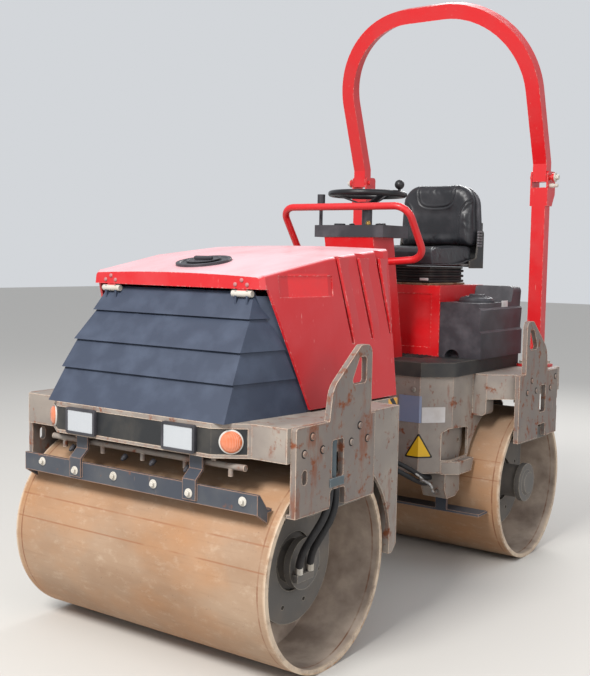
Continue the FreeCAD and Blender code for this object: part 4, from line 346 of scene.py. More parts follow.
CORNERS = ("front_left", "front_right", "rear_left", "rear_right")
FINISH = {
    grey_enamel: ["front_frame", "rear_frame", "articulation_link", "front_spray_pipe", "rear_spray_pipe"],
    plate_enamel: [f"{corner}_side_plate" for corner in CORNERS],
    carrier_enamel: [f"{corner}_carrier" for corner in CORNERS],
    drum_steel: ["front_drum", "rear_drum"],
    red_enamel: ["seat_box", "console", "hand_rail", "left_roll_bar_post", "right_roll_bar_post",
                 "roll_bar_hoop"],
    hood_enamel: ["hood"],
    dark_enamel: ["lamp_bar", "floor_tray", "steering_cylinder", "backrest_bracket"],
    blade_steel: ["front_outer_scraper", "rear_outer_scraper", "front_inner_scraper", "rear_inner_scraper"],
    slate_plastic: ["grille"],
    black_plastic: ["hood_cap", "seat_suspension", "left_tank", "right_tank", "tank_cap", "instrument_panel",
                    "steering_column", "travel_lever"],
    black_grip: ["steering_wheel"],
    vinyl: ["seat_cushion", "seat_backrest"],
    casting: ["engine_block"],
    chrome_rod: ["steering_rod"],
    clear_lens: ["left_headlamp", "right_headlamp"],
    orange_lens: ["left_indicator", "right_indicator"],
    red_lens: ["left_rear_lamp", "right_rear_lamp"],
}


def dress(piece, mat):
    """Give a piece one material."""
    piece.data.materials.clear()
    piece.data.materials.append(mat)


for mat, names in FINISH.items():
    for name in names:
        dress(nodes[name], mat)

# Camera, solved from the photograph: its place in metres, its focal length in points of the image.
PLACE, FOCAL, IMAGE_HIGH, SENSOR = (2.491, -3.740, 1.430), 1017.4, 676, 36
yaw, pitch, roll = (math.radians(angle) for angle in (-35.58, -4.58, 1.07))
ahead = Vector((math.sin(yaw) * math.cos(pitch), math.cos(yaw) * math.cos(pitch), math.sin(pitch)))
level = ahead.cross(Vector((0, 0, 1))).normalized()
upward = level.cross(ahead)
right = math.cos(roll) * level + math.sin(roll) * upward
up = -math.sin(roll) * level + math.cos(roll) * upward
camera_data = bpy.data.cameras.new("camera")
camera_data.lens = FOCAL * SENSOR / IMAGE_HIGH
camera_data.sensor_width = SENSOR
camera = bpy.data.objects.new("camera", camera_data)
bpy.context.scene.collection.objects.link(camera)
camera.matrix_world = Matrix.Translation(PLACE) @ Matrix((right, up, -ahead)).transposed().to_4x4()
bpy.context.scene.camera = camera
bpy.context.scene.view_settings.view_transform = "Standard"


# Cords: hydraulic hoses, each drawn through points read from the photograph.
def smooth_line(name, points, resolution, radius=0.0, rounds=3):
    """A curve that few points lead; with a radius it is a round rod with closed ends."""
    data = bpy.data.curves.new(name, "CURVE")
    data.dimensions = "3D"
    line = data.splines.new("NURBS")
    line.points.add(len(points) - 1)
    for point, place in zip(line.points, points):
        point.co = (*place, 1.0)
    line.order_u, line.use_endpoint_u, line.resolution_u = 3, True, resolution
    if radius:
        data.bevel_depth, data.bevel_resolution, data.use_fill_caps = radius, rounds, True
    made = bpy.data.objects.new(name, data)
    bpy.context.scene.collection.objects.link(made)
    return made


def along(points, count=60):
    """Points evenly spread on a smooth line that few points lead, to measure from."""
    made = smooth_line("measured_line", points, count // len(points) + 2)
    mesh = bpy.data.meshes.new_from_object(made)
    found = [vertex.co.copy() for vertex in mesh.vertices]
    bpy.data.objects.remove(made)
    return found


def hose(name, points, diameter, body):
    """A free hose from its first point to its last, both in the machine's own parts."""
    laid = along(points, 80)
    made = smooth_line(name, points, 8, diameter / 2, 4)
    dress(made, hose_rubber)
    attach(made, body)


# Two feed the front left motor from the notch in its plate, and two leave the articulation for the rear box.
hose("front_motor_hose_1", [(0.629, -0.918, 0.668), (0.632, -0.925, 0.615), (0.628, -0.950, 0.555),
                            (0.590, -0.975, 0.480), (0.548, -0.968, 0.415), (0.532, -0.951, 0.372)],
     0.026, "front_frame")
hose("front_motor_hose_2", [(0.629, -0.882, 0.668), (0.632, -0.884, 0.615), (0.628, -0.896, 0.555),
                            (0.590, -0.908, 0.480), (0.548, -0.903, 0.415), (0.532, -0.886, 0.372)],
     0.026, "front_frame")
hose("centre_hose_1", [(0.045, 0.058, 0.570), (0.130, 0.085, 0.562), (0.240, 0.125, 0.548),
                       (0.318, 0.180, 0.505), (0.350, 0.250, 0.455), (0.345, 0.335, 0.440)],
     0.022, "rear_frame")
hose("centre_hose_2", [(0.050, 0.052, 0.540), (0.130, 0.062, 0.538), (0.240, 0.095, 0.525),
                       (0.315, 0.155, 0.480), (0.345, 0.240, 0.430), (0.330, 0.335, 0.412)],
     0.022, "rear_frame")


# Shaping: a primitive is added, shaped in edit mode and finished with applied modifiers.
def fresh(*chosen):
    """Select only these objects, the first one active."""
    bpy.ops.object.select_all(action="DESELECT")
    for piece in chosen:
        piece.select_set(True)
    if chosen:
        bpy.context.view_layer.objects.active = chosen[0]


def applied(piece, kind, **settings):
    """Add a modifier, set it and apply it."""
    made = piece.modifiers.new(kind.lower(), kind)
    for name, value in settings.items():
        setattr(made, name, value)
    fresh(piece)
    bpy.ops.object.modifier_apply(modifier=made.name)
    return piece


def pick(piece, kind, parts, test):
    """Go into edit mode with only those faces or edges selected that pass a test."""
    fresh(piece)
    bpy.ops.object.mode_set(mode="EDIT")
    bpy.ops.mesh.select_mode(type=kind)
    bpy.ops.mesh.select_all(action="DESELECT")
    bpy.ops.object.mode_set(mode="OBJECT")
    for part in getattr(piece.data, parts):
        part.select = test(part)
    bpy.ops.object.mode_set(mode="EDIT")


def outward(piece):
    """Turn every face of a piece outward."""
    fresh(piece)
    bpy.ops.object.mode_set(mode="EDIT")
    bpy.ops.mesh.select_all(action="SELECT")
    bpy.ops.mesh.normals_make_consistent(inside=False)
    bpy.ops.object.mode_set(mode="OBJECT")
    return piece


def seat_in(piece, name, body, mat, smooth=35, stands_for=()):
    """Put a finished piece's place into its mesh, name it, dress it and let it ride."""
    fresh(piece)
    bpy.ops.object.transform_apply(location=True, rotation=True, scale=True)
    bpy.ops.object.shade_smooth_by_angle(angle=math.radians(smooth))
    piece.name = piece.data.name = name
    dress(piece, mat)
    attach(piece, body)
    if stands_for:
        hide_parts(*stands_for)
    return piece


def slab(centre, size, bevel, turn=(0, 0, 0)):
    """A block with rounded edges."""
    fresh()
    bpy.ops.mesh.primitive_cube_add(size=1, location=centre, rotation=turn)
    piece = bpy.context.object
    piece.scale = size
    bpy.ops.object.transform_apply(location=False, rotation=False, scale=True)
    return applied(piece, "BEVEL", width=bevel, segments=2, limit_method="ANGLE")


def disc(radius, height, steps=(), sides=32, bevel=0.0008):
    """A turned piece standing on the origin; each step insets its top face and moves it."""
    fresh()
    bpy.ops.mesh.primitive_cylinder_add(vertices=sides, radius=radius, depth=height,
                                        location=(0, 0, height / 2))
    piece = bpy.context.object
    bpy.ops.object.transform_apply(location=True)
    pick(piece, "FACE", "polygons", lambda face: face.normal.z > 0.9)
    for inset, rise in steps:
        bpy.ops.mesh.inset(thickness=inset, depth=0)
        bpy.ops.transform.translate(value=(0, 0, rise))
    bpy.ops.object.mode_set(mode="OBJECT")
    if bevel:
        applied(piece, "BEVEL", width=bevel, segments=2, limit_method="ANGLE", angle_limit=math.radians(40))
    return piece


def joined(parts):
    """One object from several."""
    fresh(*parts)
    if len(parts) > 1:
        bpy.ops.object.join()
    return bpy.context.view_layer.objects.active


def standing(place, toward):
    """What takes a piece from the origin to a place, its top facing one way."""
    return Matrix.Translation(place) @ Vector(toward).to_track_quat("Z", "Y").to_matrix().to_4x4()


def copies(model, places, toward):
    """Copies of one piece, each with its own mesh, standing on places and facing one way; the model goes."""
    made = []
    for place in places:
        one = model.copy()
        one.data = model.data.copy()
        one.data.transform(standing(place, toward))
        bpy.context.scene.collection.objects.link(one)
        made.append(one)
    bpy.data.objects.remove(model)
    return joined(made)


def hex_bolt(radius):
    """A hexagon head on its washer, with a chamfered crown."""
    top = disc(radius, radius * 1.1, [(radius * 0.1, radius * 0.08)], 6, radius * 0.05)
    top.data.transform(Matrix.Translation((0, 0, radius * 0.3)))
    return joined([top, disc(radius * 1.75, radius * 0.32, (), 24, radius * 0.06)])


def rivet(radius):
    """A low domed rivet head."""
    return disc(radius, radius * 0.25, [(radius * 0.15, radius * 0.25), (radius * 0.3, radius * 0.15)], 14, 0)


def tube(name, points, radius, body, mat):
    """A bent pipe or welt that is fixed at both ends."""
    fresh(smooth_line(name, points, 6, radius))
    bpy.ops.object.convert(target="MESH")
    return seat_in(bpy.context.object, name, body, mat, 60)


# Each end: its body, the way it looks along y, and the y of its bolted face and of its spray pipe.
SIDES = (("left", 1), ("right", -1))
ENDS = (("front", "front_frame", -1, -1.225, -1.176), ("rear", "rear_frame", 1, 1.195, 1.146))
PLATE_FACE, REAR_PLATE_LIFT, REAR_PLATE_REACH = 0.642, 0.020, 0.19
# Places of bolts: outward of the axle and height on the side plates, x and height on the frames' end faces.
PLATE_BOLTS = ((0.173, 0.848), (0.112, 0.797), (0.217, 0.797), (-0.116, 0.850), (-0.063, 0.799),
               (-0.167, 0.798))
FACE_BOLTS = ((-0.459, 0.648), (-0.085, 0.645), (0.107, 0.645), (0.498, 0.645))
NOZZLES = (-0.341, -0.072, 0.065, 0.224)

# Flush round bolts through the side plates, each on a thin black disc that paints the shadow gap round its
# head; hexagon bolts above the scrapers, nozzles on the spray pipes.
for end, body, out, face, pipe in ENDS:
    rear = end == "rear"
    for side, sign in SIDES:
        spots = [(sign * PLATE_FACE, out * (AXLE_BACK + reach), height + rear * REAR_PLATE_LIFT)
                 for reach, height in PLATE_BOLTS if not rear or reach < REAR_PLATE_REACH]
        # A thin black disc under each round head is a painted shadow gap, not a part of the machine.
        seat = disc(0.0148, 0.0012, (), 24, 0)
        seat_in(copies(seat, spots, (sign, 0, 0)), f"{end}_{side}_bolt_shadow_rings", body, black_rubber)
        head = disc(0.0106, 0.0045, [(0.0024, 0.0012)], 24)
        seat_in(copies(head, spots, (sign, 0, 0)), f"{end}_{side}_plate_bolts", body, plate_enamel)
    spots = [(x, face, z) for x, z in FACE_BOLTS] + [(x, face + out * 0.008, 0.640) for x in (-0.275, 0.275)]
    seat_in(copies(hex_bolt(0.009), spots, (0, out, 0)), f"{end}_scraper_bolts", body, bright_bolt)
    nozzle = disc(0.010, 0.016, [(0.003, 0), (0, 0.008), (0.003, 0.003)], 12)
    seat_in(copies(nozzle, [(x, pipe, 0.713) for x in NOZZLES], (0, out, -0.6)), f"{end}_spray_nozzles", body,
            black_plastic)

# Roll bar: bolts at the posts' feet, a pivot bolt and a lock pin at each hinge.
POST_X, POST_Y, POST_FOOT, HOOP_HINGE = 0.520, 1.080, 0.919, 1.840
for side, sign in SIDES:
    spots = [(sign * POST_X + dx, POST_Y + dy, POST_FOOT) for dx in (-0.052, 0.052) for dy in (-0.045, 0.045)]
    seat_in(copies(hex_bolt(0.010), spots, (0, 0, 1)), f"{side}_post_bolts", "rear_frame", worn_bolt)
    seat_in(copies(hex_bolt(0.013), [(sign * 0.590, POST_Y, HOOP_HINGE)], (sign, 0, 0)), f"{side}_hinge_bolt",
            "rear_frame", bright_bolt)
    pin = disc(0.011, 0.022, [(0.002, 0), (0, 0.012), (-0.006, 0), (0, 0.010)], 20)
    seat_in(copies(pin, [(sign * 0.561, POST_Y, HOOP_HINGE - 0.040)], (sign, 0, 0)), f"{side}_lock_pin",
            "rear_frame", bright_bolt)

# Seat: moulded foam under vinyl. Its pads start this far inside the CAD's, in cells of PAD_CELL, and swell.
PAD_INSET, PAD_CELL, PAD_SWELL, PRESSURE = 0.007, 0.006, 0.009, 4.0


def swollen(piece):
    """Remesh a pad, blow it up as cloth, hold each point near its start and smooth once."""
    piece.data.remesh_voxel_size = PAD_CELL
    fresh(piece)
    bpy.ops.object.voxel_remesh()
    before = [vertex.co.copy() for vertex in piece.data.vertices]
    cloth = piece.modifiers.new("cloth", "CLOTH")
    cloth.settings.use_pressure = True
    cloth.settings.uniform_pressure_force = PRESSURE
    cloth.settings.effector_weights.gravity = 0
    for number in range(1, 21):
        bpy.context.scene.frame_set(number)
    fresh(piece)
    bpy.ops.object.modifier_apply(modifier=cloth.name)
    bpy.context.scene.frame_set(1)
    for vertex, first in zip(piece.data.vertices, before):
        move = vertex.co - first
        if move.length > 1e-6:
            vertex.co = first + move * (PAD_SWELL * math.tanh(move.length / PAD_SWELL) / move.length)
    return applied(piece, "SUBSURF", levels=1, render_levels=1)


def sewn(piece, seams, faces, flatten, depth=0.004, width=0.0035):
    """Press sewn channels with a soft lip into the faces that a test picks; flatten drops the depth axis."""
    spots = [point for seam in seams for point in seam]
    near = KDTree(len(spots))
    for number, point in enumerate(spots):
        near.insert(flatten(Vector(point)), number)
    near.balance()
    moves = []
    for vertex in piece.data.vertices:
        if faces(vertex.co, vertex.normal):
            away = near.find(flatten(vertex.co))[2]
            lip = 0.35 * math.exp(-((away - 2.6 * width) / (1.6 * width)) ** 2)
            moves.append((vertex, vertex.normal * (lip - math.exp(-(away / width) ** 2)) * depth))
    for vertex, move in moves:
        vertex.co += move


def rounded_block(low, high, top_scale, corner, soft):
    """A block between two corners with a narrower top, well rounded top corners and soft edges."""
    middle = [(a + b) / 2 for a, b in zip(low, high)]
    fresh()
    bpy.ops.mesh.primitive_cube_add(size=1, location=middle)
    piece = bpy.context.object
    piece.scale = [b - a for a, b in zip(low, high)]
    bpy.ops.object.transform_apply(location=True, rotation=True, scale=True)
    for vertex in piece.data.vertices:
        if vertex.co.z > middle[2]:
            vertex.co.x *= top_scale

    def at_top_corner(edge):
        one, two = (piece.data.vertices[number].co for number in edge.vertices)
        return min(one.z, two.z) > middle[2] and abs(one.y - two.y) > 1e-4

    pick(piece, "EDGE", "edges", at_top_corner)
    bpy.ops.mesh.bevel(offset=corner, segments=10, affect="EDGES")
    bpy.ops.object.mode_set(mode="OBJECT")
    return applied(piece, "BEVEL", width=soft, segments=5, limit_method="ANGLE", angle_limit=math.radians(40))


def ease(value):
    """A smooth step from 0 to 1."""
    value = min(1.0, max(0.0, value))
    return value * value * (3 - 2 * value)


def mirrored(half):
    """A line from one side to the middle, carried on to the other side."""
    return half + [(-x, y, z) for x, y, z in reversed(half[:-1])]


def make_backrest():
    """The back pad with its bolsters, hollow and seams, a welt round it and the shell behind."""
    low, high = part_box("seat_backrest")
    pad = rounded_block((low[0] - 0.012, low[1] + PAD_INSET, low[2] + 0.002),
                        (high[0] + 0.012, high[1] - 0.016, high[2] + 0.003), 0.90, 0.095, 0.026)
    swollen(pad)
    foot, top, centre = low[2], high[2], (low[1] + high[1]) / 2
    for vertex in pad.data.vertices:
        x, y, z = vertex.co
        vertex.co.x *= 0.965 + 0.035 * ease((z - foot) / 0.11)
        front = ease((centre - y) / 0.02)
        bolster = (ease((abs(x) - 0.118) / 0.035) * ease((foot + 0.225 - z) / 0.09)
                   * ease((0.205 - abs(x)) / 0.03 + 0.4))
        hollow = ((1 - ease((abs(x) - 0.09) / 0.05)) * ease((top - 0.10 - z) / 0.05)
                  * ease((z - foot - 0.02) / 0.05))
        vertex.co.y += front * (0.007 * hollow - 0.010 * bolster)
    head = mirrored([(-0.104, 0, top + 0.004), (-0.106, 0, top - 0.050), (-0.088, 0, top - 0.112),
                     (0, 0, top - 0.121)])
    side = [(0.136, 0, foot + 0.005), (0.136, 0, foot + 0.07), (0.134, 0, foot + 0.16),
            (0.156, 0, foot + 0.215), (0.190, 0, foot + 0.235)]
    seams = [along(head), along(side), along([(-x, y, z) for x, y, z in side])]
    sewn(pad, seams, lambda place, normal: place.y < centre, lambda place: Vector((place.x, 0, place.z)))
    seat_in(pad, "seat_back_pad", "rear_frame", vinyl, 60, ["seat_backrest"])
    # The welt lies where lines from all round towards the pad's middle first meet it.
    rim = BVHTree.FromPolygons([vertex.co for vertex in pad.data.vertices],
                               [tuple(face.vertices) for face in pad.data.polygons])
    welt, heart = [], Vector((0, high[1] - 0.034, foot + 0.155))
    for turn in (math.radians(-28 + 236 * n / 22) for n in range(23)):
        far = Vector((0.30 * math.cos(turn), high[1] - 0.034, foot + 0.155 + 0.30 * math.sin(turn)))
        welt.append(rim.ray_cast(far, (heart - far).normalized())[0])
    tube("seat_back_welt", welt, 0.0036, "rear_frame", vinyl)
    shell = rounded_block((-0.230, high[1] - 0.032, foot + 0.012), (0.230, high[1] - 0.006, top - 0.006),
                          0.90, 0.10, 0.007)
    seat_in(shell, "seat_back_shell", "rear_frame", black_plastic)


def make_cushion():
    """The base pad with its bolsters, hollow, nose and seam, and a welt round its front."""
    low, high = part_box("seat_cushion")
    pad = rounded_block((low[0] + PAD_INSET, low[1] + PAD_INSET, low[2] + 0.012),
                        [value - PAD_INSET for value in high], 0.97, 0.001, 0.034)
    swollen(pad)
    front, back, middle = low[1], high[1], (low[2] + high[2]) / 2
    for vertex in pad.data.vertices:
        x, y, z = vertex.co
        upper = ease((z - middle) / 0.02)
        nose = ease((front + 0.075 - y) / 0.09)
        bolster = ease((abs(x) - 0.115) / 0.04) * ease((y - front - 0.08) / 0.22)
        hollow = (1 - ease((abs(x) - 0.09) / 0.05)) * ease((y - front - 0.09) / 0.07)
        vertex.co.z += upper * (0.008 * bolster - 0.010 * hollow - 0.022 * nose)
    inner = mirrored([(0.134, back, 0), (0.136, back - 0.15, 0), (0.134, front + 0.17, 0),
                      (0.118, front + 0.105, 0), (0.062, front + 0.092, 0), (0, front + 0.090, 0)])
    sewn(pad, [along(inner, 120)], lambda place, normal: place.z > middle,
         lambda place: Vector((place.x, place.y, 0)))
    seat_in(pad, "seat_base_pad", "rear_frame", vinyl, 60, ["seat_cushion"])
    half = high[0] - 0.001
    rim = mirrored([(half, back - 0.01, 0.038), (half, back - 0.07, 0.036),
                    (half + 0.001, back - 0.16, 0.014), (half + 0.001, front + 0.10, 0.010),
                    (half - 0.002, front + 0.010, 0.008), (half - 0.06, front - 0.001, 0.008),
                    (0, front - 0.002, 0.008)])
    tube("seat_base_welt", [(x, y, low[2] + z) for x, y, z in rim], 0.0035, "rear_frame", vinyl)


make_backrest()
make_cushion()


def touch(node, origin, toward):
    """Where a line from an origin meets a CAD node's surface."""
    return nodes[node].ray_cast(Vector(origin), Vector(toward).normalized())[1]


def bezel(centre, width, height, border, depth, facing=(0, -1, 0)):
    """A flat frame round a lamp, with rounded corners, standing out by its depth."""
    fresh()
    bpy.ops.mesh.primitive_plane_add(size=1)
    piece = bpy.context.object
    piece.scale = (width, height, 1)
    bpy.ops.object.transform_apply(scale=True)
    bpy.ops.object.mode_set(mode="EDIT")
    bpy.ops.mesh.select_all(action="SELECT")
    bpy.ops.mesh.bevel(offset=border * 0.9, segments=4, affect="VERTICES")
    bpy.ops.mesh.select_all(action="SELECT")
    bpy.ops.mesh.inset(thickness=border, depth=0)
    bpy.ops.mesh.delete(type="FACE")
    bpy.ops.object.mode_set(mode="OBJECT")
    applied(piece, "SOLIDIFY", thickness=depth, offset=1)
    turned = Matrix((Vector(facing).cross((0, 0, -1)), (0, 0, 1), facing)).transposed().to_4x4()
    piece.data.transform(Matrix.Translation(centre) @ turned)
    return applied(piece, "BEVEL", width=0.0012, segments=2, limit_method="ANGLE")


def ring(centre, radius, thick, facing):
    """A flattened round bead, such as the rim round a lamp."""
    fresh()
    bpy.ops.mesh.primitive_torus_add(major_radius=radius, minor_radius=thick, major_segments=36,
                                     minor_segments=10)
    piece = bpy.context.object
    piece.scale = (1, 1, 0.7)
    bpy.ops.object.transform_apply(scale=True)
    piece.data.transform(standing(centre, facing))
    return piece


def grid(across, down):
    """A flat grid of faces, to be laid over a surface vertex by vertex."""
    fresh()
    bpy.ops.mesh.primitive_grid_add(x_subdivisions=across, y_subdivisions=down, size=1)
    return bpy.context.object


# Hood: hinge sleeves on the tilt axis, and the rivets above them.
HINGE_X, HINGE_AXIS, HINGE_SLEEVE, SLEEVE_LONG = 0.315, (-1.012, 1.300), 0.0116, 0.086
for side, sign in SIDES:
    sleeve = disc(HINGE_SLEEVE, SLEEVE_LONG, [(0.002, 0)], 32, 0.0006)
    seat_in(copies(sleeve, [(sign * HINGE_X - SLEEVE_LONG / 2, *HINGE_AXIS)], (1, 0, 0)),
            f"{side}_hood_hinge_sleeve", "hood", bright_bolt)
    spots = [(sign * HINGE_X + dx, -1.020, z) for dx, z in ((-0.026, 1.331), (0.002, 1.346), (0.026, 1.331))]
    seat_in(copies(rivet(0.0075), spots, (0, -1, 0)), f"{side}_hood_hinge_rivets", "hood", hood_rivet)

# Hood: three pressed pleats stand proud of each flank. Their risers face forward, each at a y for its top
# and one for its foot. The section gives a share of the width, then of the rise, or metres below the skin.
PLEATS = ((-0.606, -0.526), (-0.473, -0.392), (-0.335, -0.270))
PLEAT_SECTION = ((0, -0.003), (0.03, 1), (0.12, 0.95), (0.5, 0.45), (1, -0.003))
PLEAT_TOP, PLEAT_FOOT, PLEAT_WIDE, PLEAT_PROUD, HOOD_BACK = 1.428, 1.105, 0.080, 0.007, -0.264
CLEAR_FAR, CLEAR_NEAR, FLANK_TOP = -0.640, -0.490, 1.395


def flank(y, z):
    """The hood flank's half width, read from two places clear of the CAD's own pleats."""
    z = min(z, FLANK_TOP)
    far, near = (touch("hood", (1, place, z), (-1, 0, 0)).x for place in (CLEAR_FAR, CLEAR_NEAR))
    return far + (near - far) * (y - CLEAR_FAR) / (CLEAR_NEAR - CLEAR_FAR)


for side, sign in SIDES:
    pressed = []
    for top_y, foot_y in PLEATS:
        pleat = grid(5, 15)
        for vertex in pleat.data.vertices:
            across, rising = vertex.co.x + 0.5, vertex.co.y + 0.5
            z = PLEAT_FOOT + (PLEAT_TOP - PLEAT_FOOT) * rising
            end = ease(rising / 0.35) * ease((1.04 - rising) / 0.06)
            share, proud = PLEAT_SECTION[round(across * 4)]
            riser = foot_y + (top_y - foot_y) * rising
            y = riser + min(PLEAT_WIDE, HOOD_BACK - riser) * share
            rise = PLEAT_PROUD * proud * end if proud > 0 else proud
            vertex.co = (sign * (flank(y, z) + rise), y, z)
        pressed.append(applied(pleat, "SOLIDIFY", thickness=0.003, offset=-1 if sign > 0 else 1))
    seat_in(outward(joined(pressed)), f"{side}_hood_pleats", "hood", hood_enamel, 50)

# Grille: the moulding turns in behind the hood's front edge, so no dark gap shows between them.
# At its foot and its top: z, then y and x of the grille's edge, then y and x of the hood's.
RETURN = ((0.888, -0.8355, 0.4690, -0.8213, 0.4780), (1.293, -0.9880, 0.3690, -0.9810, 0.4146))
for side, sign in SIDES:
    flange = grid(2, 8)
    for vertex in flange.data.vertices:
        across, rising = vertex.co.x + 0.5, vertex.co.y + 0.5
        z, grille_y, grille_x, hood_y, hood_x = (a + (b - a) * rising for a, b in zip(*RETURN))
        near = Vector((grille_x - 0.005, grille_y - 0.014, z))
        far = Vector((hood_x - 0.012, hood_y + 0.022, z))
        place = near + (far - near) * across
        vertex.co = (sign * place.x, place.y, place.z)
    applied(flange, "SOLIDIFY", thickness=0.002, offset=0)
    seat_in(flange, f"{side}_grille_return", "front_frame", slate_plastic)

# Lamps: frames round the head and rear lamps, and rims round the indicators.
LAMP_X, LAMP_Z = 0.235, 0.8245
for side, sign in SIDES:
    seat_in(bezel((sign * LAMP_X, -1.2325, LAMP_Z), 0.148, 0.095, 0.010, 0.0155), f"{side}_headlamp_frame",
            "front_frame", black_plastic)
    out = Vector((sign * 0.557, -0.831, 0))
    base = touch("lamp_bar", Vector((sign * 0.4245, -1.198, LAMP_Z)) + out * 0.1, -out)
    seat_in(ring(base + out * 0.003, 0.0355, 0.0055, out), f"{side}_indicator_rim", "front_frame",
            pale_moulding)
    seat_in(bezel((sign * LAMP_X, 1.2285, 0.8475), 0.118, 0.083, 0.007, 0.004, (0, 1, 0)),
            f"{side}_rear_lamp_frame", "rear_frame", black_plastic)

# Blank signs: plates on the rear box wrap round its fold, and a striped strip edges the front frame.
FOLD, CHAMFER, CHAMFER_OUT = Vector((0.332, 0.240, 0)), Vector((0.655, 0.756, 0)), Vector((0.756, -0.655, 0))


def wrapped(outline, thick, lift, corner):
    """A thin plate of an outline (along the surface, height), bent over the rear box's fold."""
    fresh()
    bpy.ops.mesh.primitive_circle_add(vertices=len(outline), radius=1, fill_type="NGON")
    piece = bpy.context.object
    for vertex, (u, z) in zip(piece.data.vertices, outline):
        vertex.co = (u, z, 0)
    bpy.ops.object.mode_set(mode="EDIT")
    bpy.ops.mesh.select_all(action="SELECT")
    bpy.ops.mesh.bevel(offset=corner, segments=4, affect="VERTICES")
    bpy.ops.mesh.select_all(action="SELECT")
    bpy.ops.mesh.bisect(plane_co=(0, 0, 0), plane_no=(1, 0, 0))
    bpy.ops.object.mode_set(mode="OBJECT")
    for vertex in piece.data.vertices:
        u, z = vertex.co.x, vertex.co.y
        if u > 0:
            vertex.co = FOLD + CHAMFER * u + CHAMFER_OUT * lift + Vector((0, 0, z))
        else:
            vertex.co = FOLD + Vector((u, -lift, z))
    return outward(applied(piece, "SOLIDIFY", thickness=thick, offset=0))


def oblong(u_low, u_high, z_low, z_high):
    """The outline of an upright plate."""
    return [(u_low, z_low), (u_high, z_low), (u_high, z_high), (u_low, z_high)]


BLANK_SIGNS = (
    # name, outline, lift off the surface, corner radius, finish
    # The sticker left of the fold is drawn blue-grey, its tone in shadow: painted shade.
    ("shaded_pale_plate", oblong(-0.104, 0.010, 0.700, 0.820), 0.0010, 0.003, "shaded_pale_sheet"),
    ("white_plate", oblong(0.012, 0.123, 0.700, 0.770), 0.0010, 0.003, "white_sheet"),
    ("triangle_border", [(-0.070, 0.541), (0.070, 0.541), (0, 0.656)], 0.0010, 0.010, "black_sheet"),
    ("triangle_face", [(-0.058, 0.548), (0.058, 0.548), (0, 0.643)], 0.0022, 0.006, "yellow_sheet"),
)
for name, outline, lift, corner, finish in BLANK_SIGNS:
    seat_in(wrapped(outline, 0.0012, lift, corner), f"blank_{name}", "rear_frame", sheets[finish],
            30)
seat_in(copies(rivet(0.012), [(0.300, 0.240, 0.848)], (0, -1, 0)), "rear_box_plug", "rear_frame", worn_bolt)
seat_in(slab((0.5010, -0.289, 0.777), (0.003, 0.066, 0.210), 0.0008), "striped_edge_plate", "front_frame",
        striped_sheet)
TANK_PLATE_Y, TANK_PLATE_Z = 0.850, 1.215
spot = touch("left_tank", (1, TANK_PLATE_Y, TANK_PLATE_Z), (-1, 0, 0))
seat_in(slab((spot.x, TANK_PLATE_Y, TANK_PLATE_Z), (0.0024, 0.070, 0.042), 0.0008), "blank_tank_plate",
        "rear_frame", sheets["white_sheet"])

# Panel: gauge, key switch and rocker switches.
PANEL_TOP, GAUGE, KEY, UPRIGHT = 1.576, (-0.080, 0.190), (0.073, 0.189), (0, 0, 1)
dial = disc(0.026, 0.008, [(0.004, 0), (0.001, -0.003), (0.004, 0)], 32)
seat_in(copies(dial, [(*GAUGE, PANEL_TOP)], UPRIGHT), "panel_gauge", "rear_frame", black_plastic)
seat_in(copies(disc(0.020, 0.0015, (), 32, 0.0004), [(*GAUGE, PANEL_TOP + 0.0045)], UPRIGHT),
        "panel_gauge_face", "rear_frame", sheets["white_sheet"])
collar = disc(0.012, 0.012, [(0.003, 0), (0, 0.006), (0.004, 0.002)], 24)
seat_in(copies(collar, [(*KEY, PANEL_TOP)], UPRIGHT), "key_switch", "rear_frame", brass)
rockers = [slab((x, 0.215, PANEL_TOP + 0.004), (0.016, 0.026, 0.010), 0.003, (0.16, 0, 0))
           for x in (-0.030, 0.110, 0.135)]
seat_in(joined(rockers), "rocker_switches", "rear_frame", black_grip)

# Caps: each filler cap has a raised grip across a dished top that leans as the cap does.
for name, node, body, centre, radius in (("tank_cap_grip", "tank_cap", "rear_frame", (0.353, 0.745), 0.060),
                                         ("hood_cap_grip", "hood_cap", "hood", (0.0, -0.851), 0.066)):
    x, y = centre
    top, ahead_top = (touch(node, (x, place, 2), (0, 0, -1)) for place in (y, y - 0.03))
    dish = disc(radius, 0.004, [(0.006, 0), (0.004, -0.003), (0.010, 0.0)], 36)
    grip = slab((0, 0, 0.008), (radius * 1.3, 0.016, 0.014), 0.005)
    upright = (top - ahead_top).cross(Vector((-1, 0, 0))).normalized()
    seat_in(copies(joined([dish, grip]), [top], upright), name, body, black_plastic)

# Seat stand: rubber bellows over the suspension on a rusty base plate, and the hinge's ribbed boot.
low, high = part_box("seat_suspension")
middle_y, deep = (low[1] + high[1]) / 2, high[1] - low[1]
folds = []
for n in range(6):
    tuck, height = 0.016 * (n % 2), low[2] + 0.018 + 0.0125 * n
    folds.append(slab((0, middle_y, height), (0.350 - tuck, deep - 0.010 - tuck, 0.0135), 0.006))
seat_in(joined(folds), "suspension_bellows", "rear_frame", black_rubber, 50,
        ["seat_suspension"])
seat_in(slab((0, middle_y, low[2] + 0.005), (0.356, deep, 0.009), 0.002), "seat_base_plate", "rear_frame",
        rusty_plate)
seat_in(slab((0, middle_y, high[2] - 0.005), (0.340, deep - 0.02, 0.008), 0.002), "seat_pan", "rear_frame",
        dark_enamel)
seat_in(slab((0.142, low[1] + 0.001, low[2] + 0.028), (0.046, 0.002, 0.012), 0.0006), "blank_seat_tag",
        "rear_frame", sheets["white_sheet"])
boot = [slab((0.231, 1.012, 1.500 + 0.014 * n), (0.010, 0.046, 0.0105), 0.003) for n in range(6)]
seat_in(joined(boot), "seat_hinge_boot", "rear_frame", grey_rubber, 45)

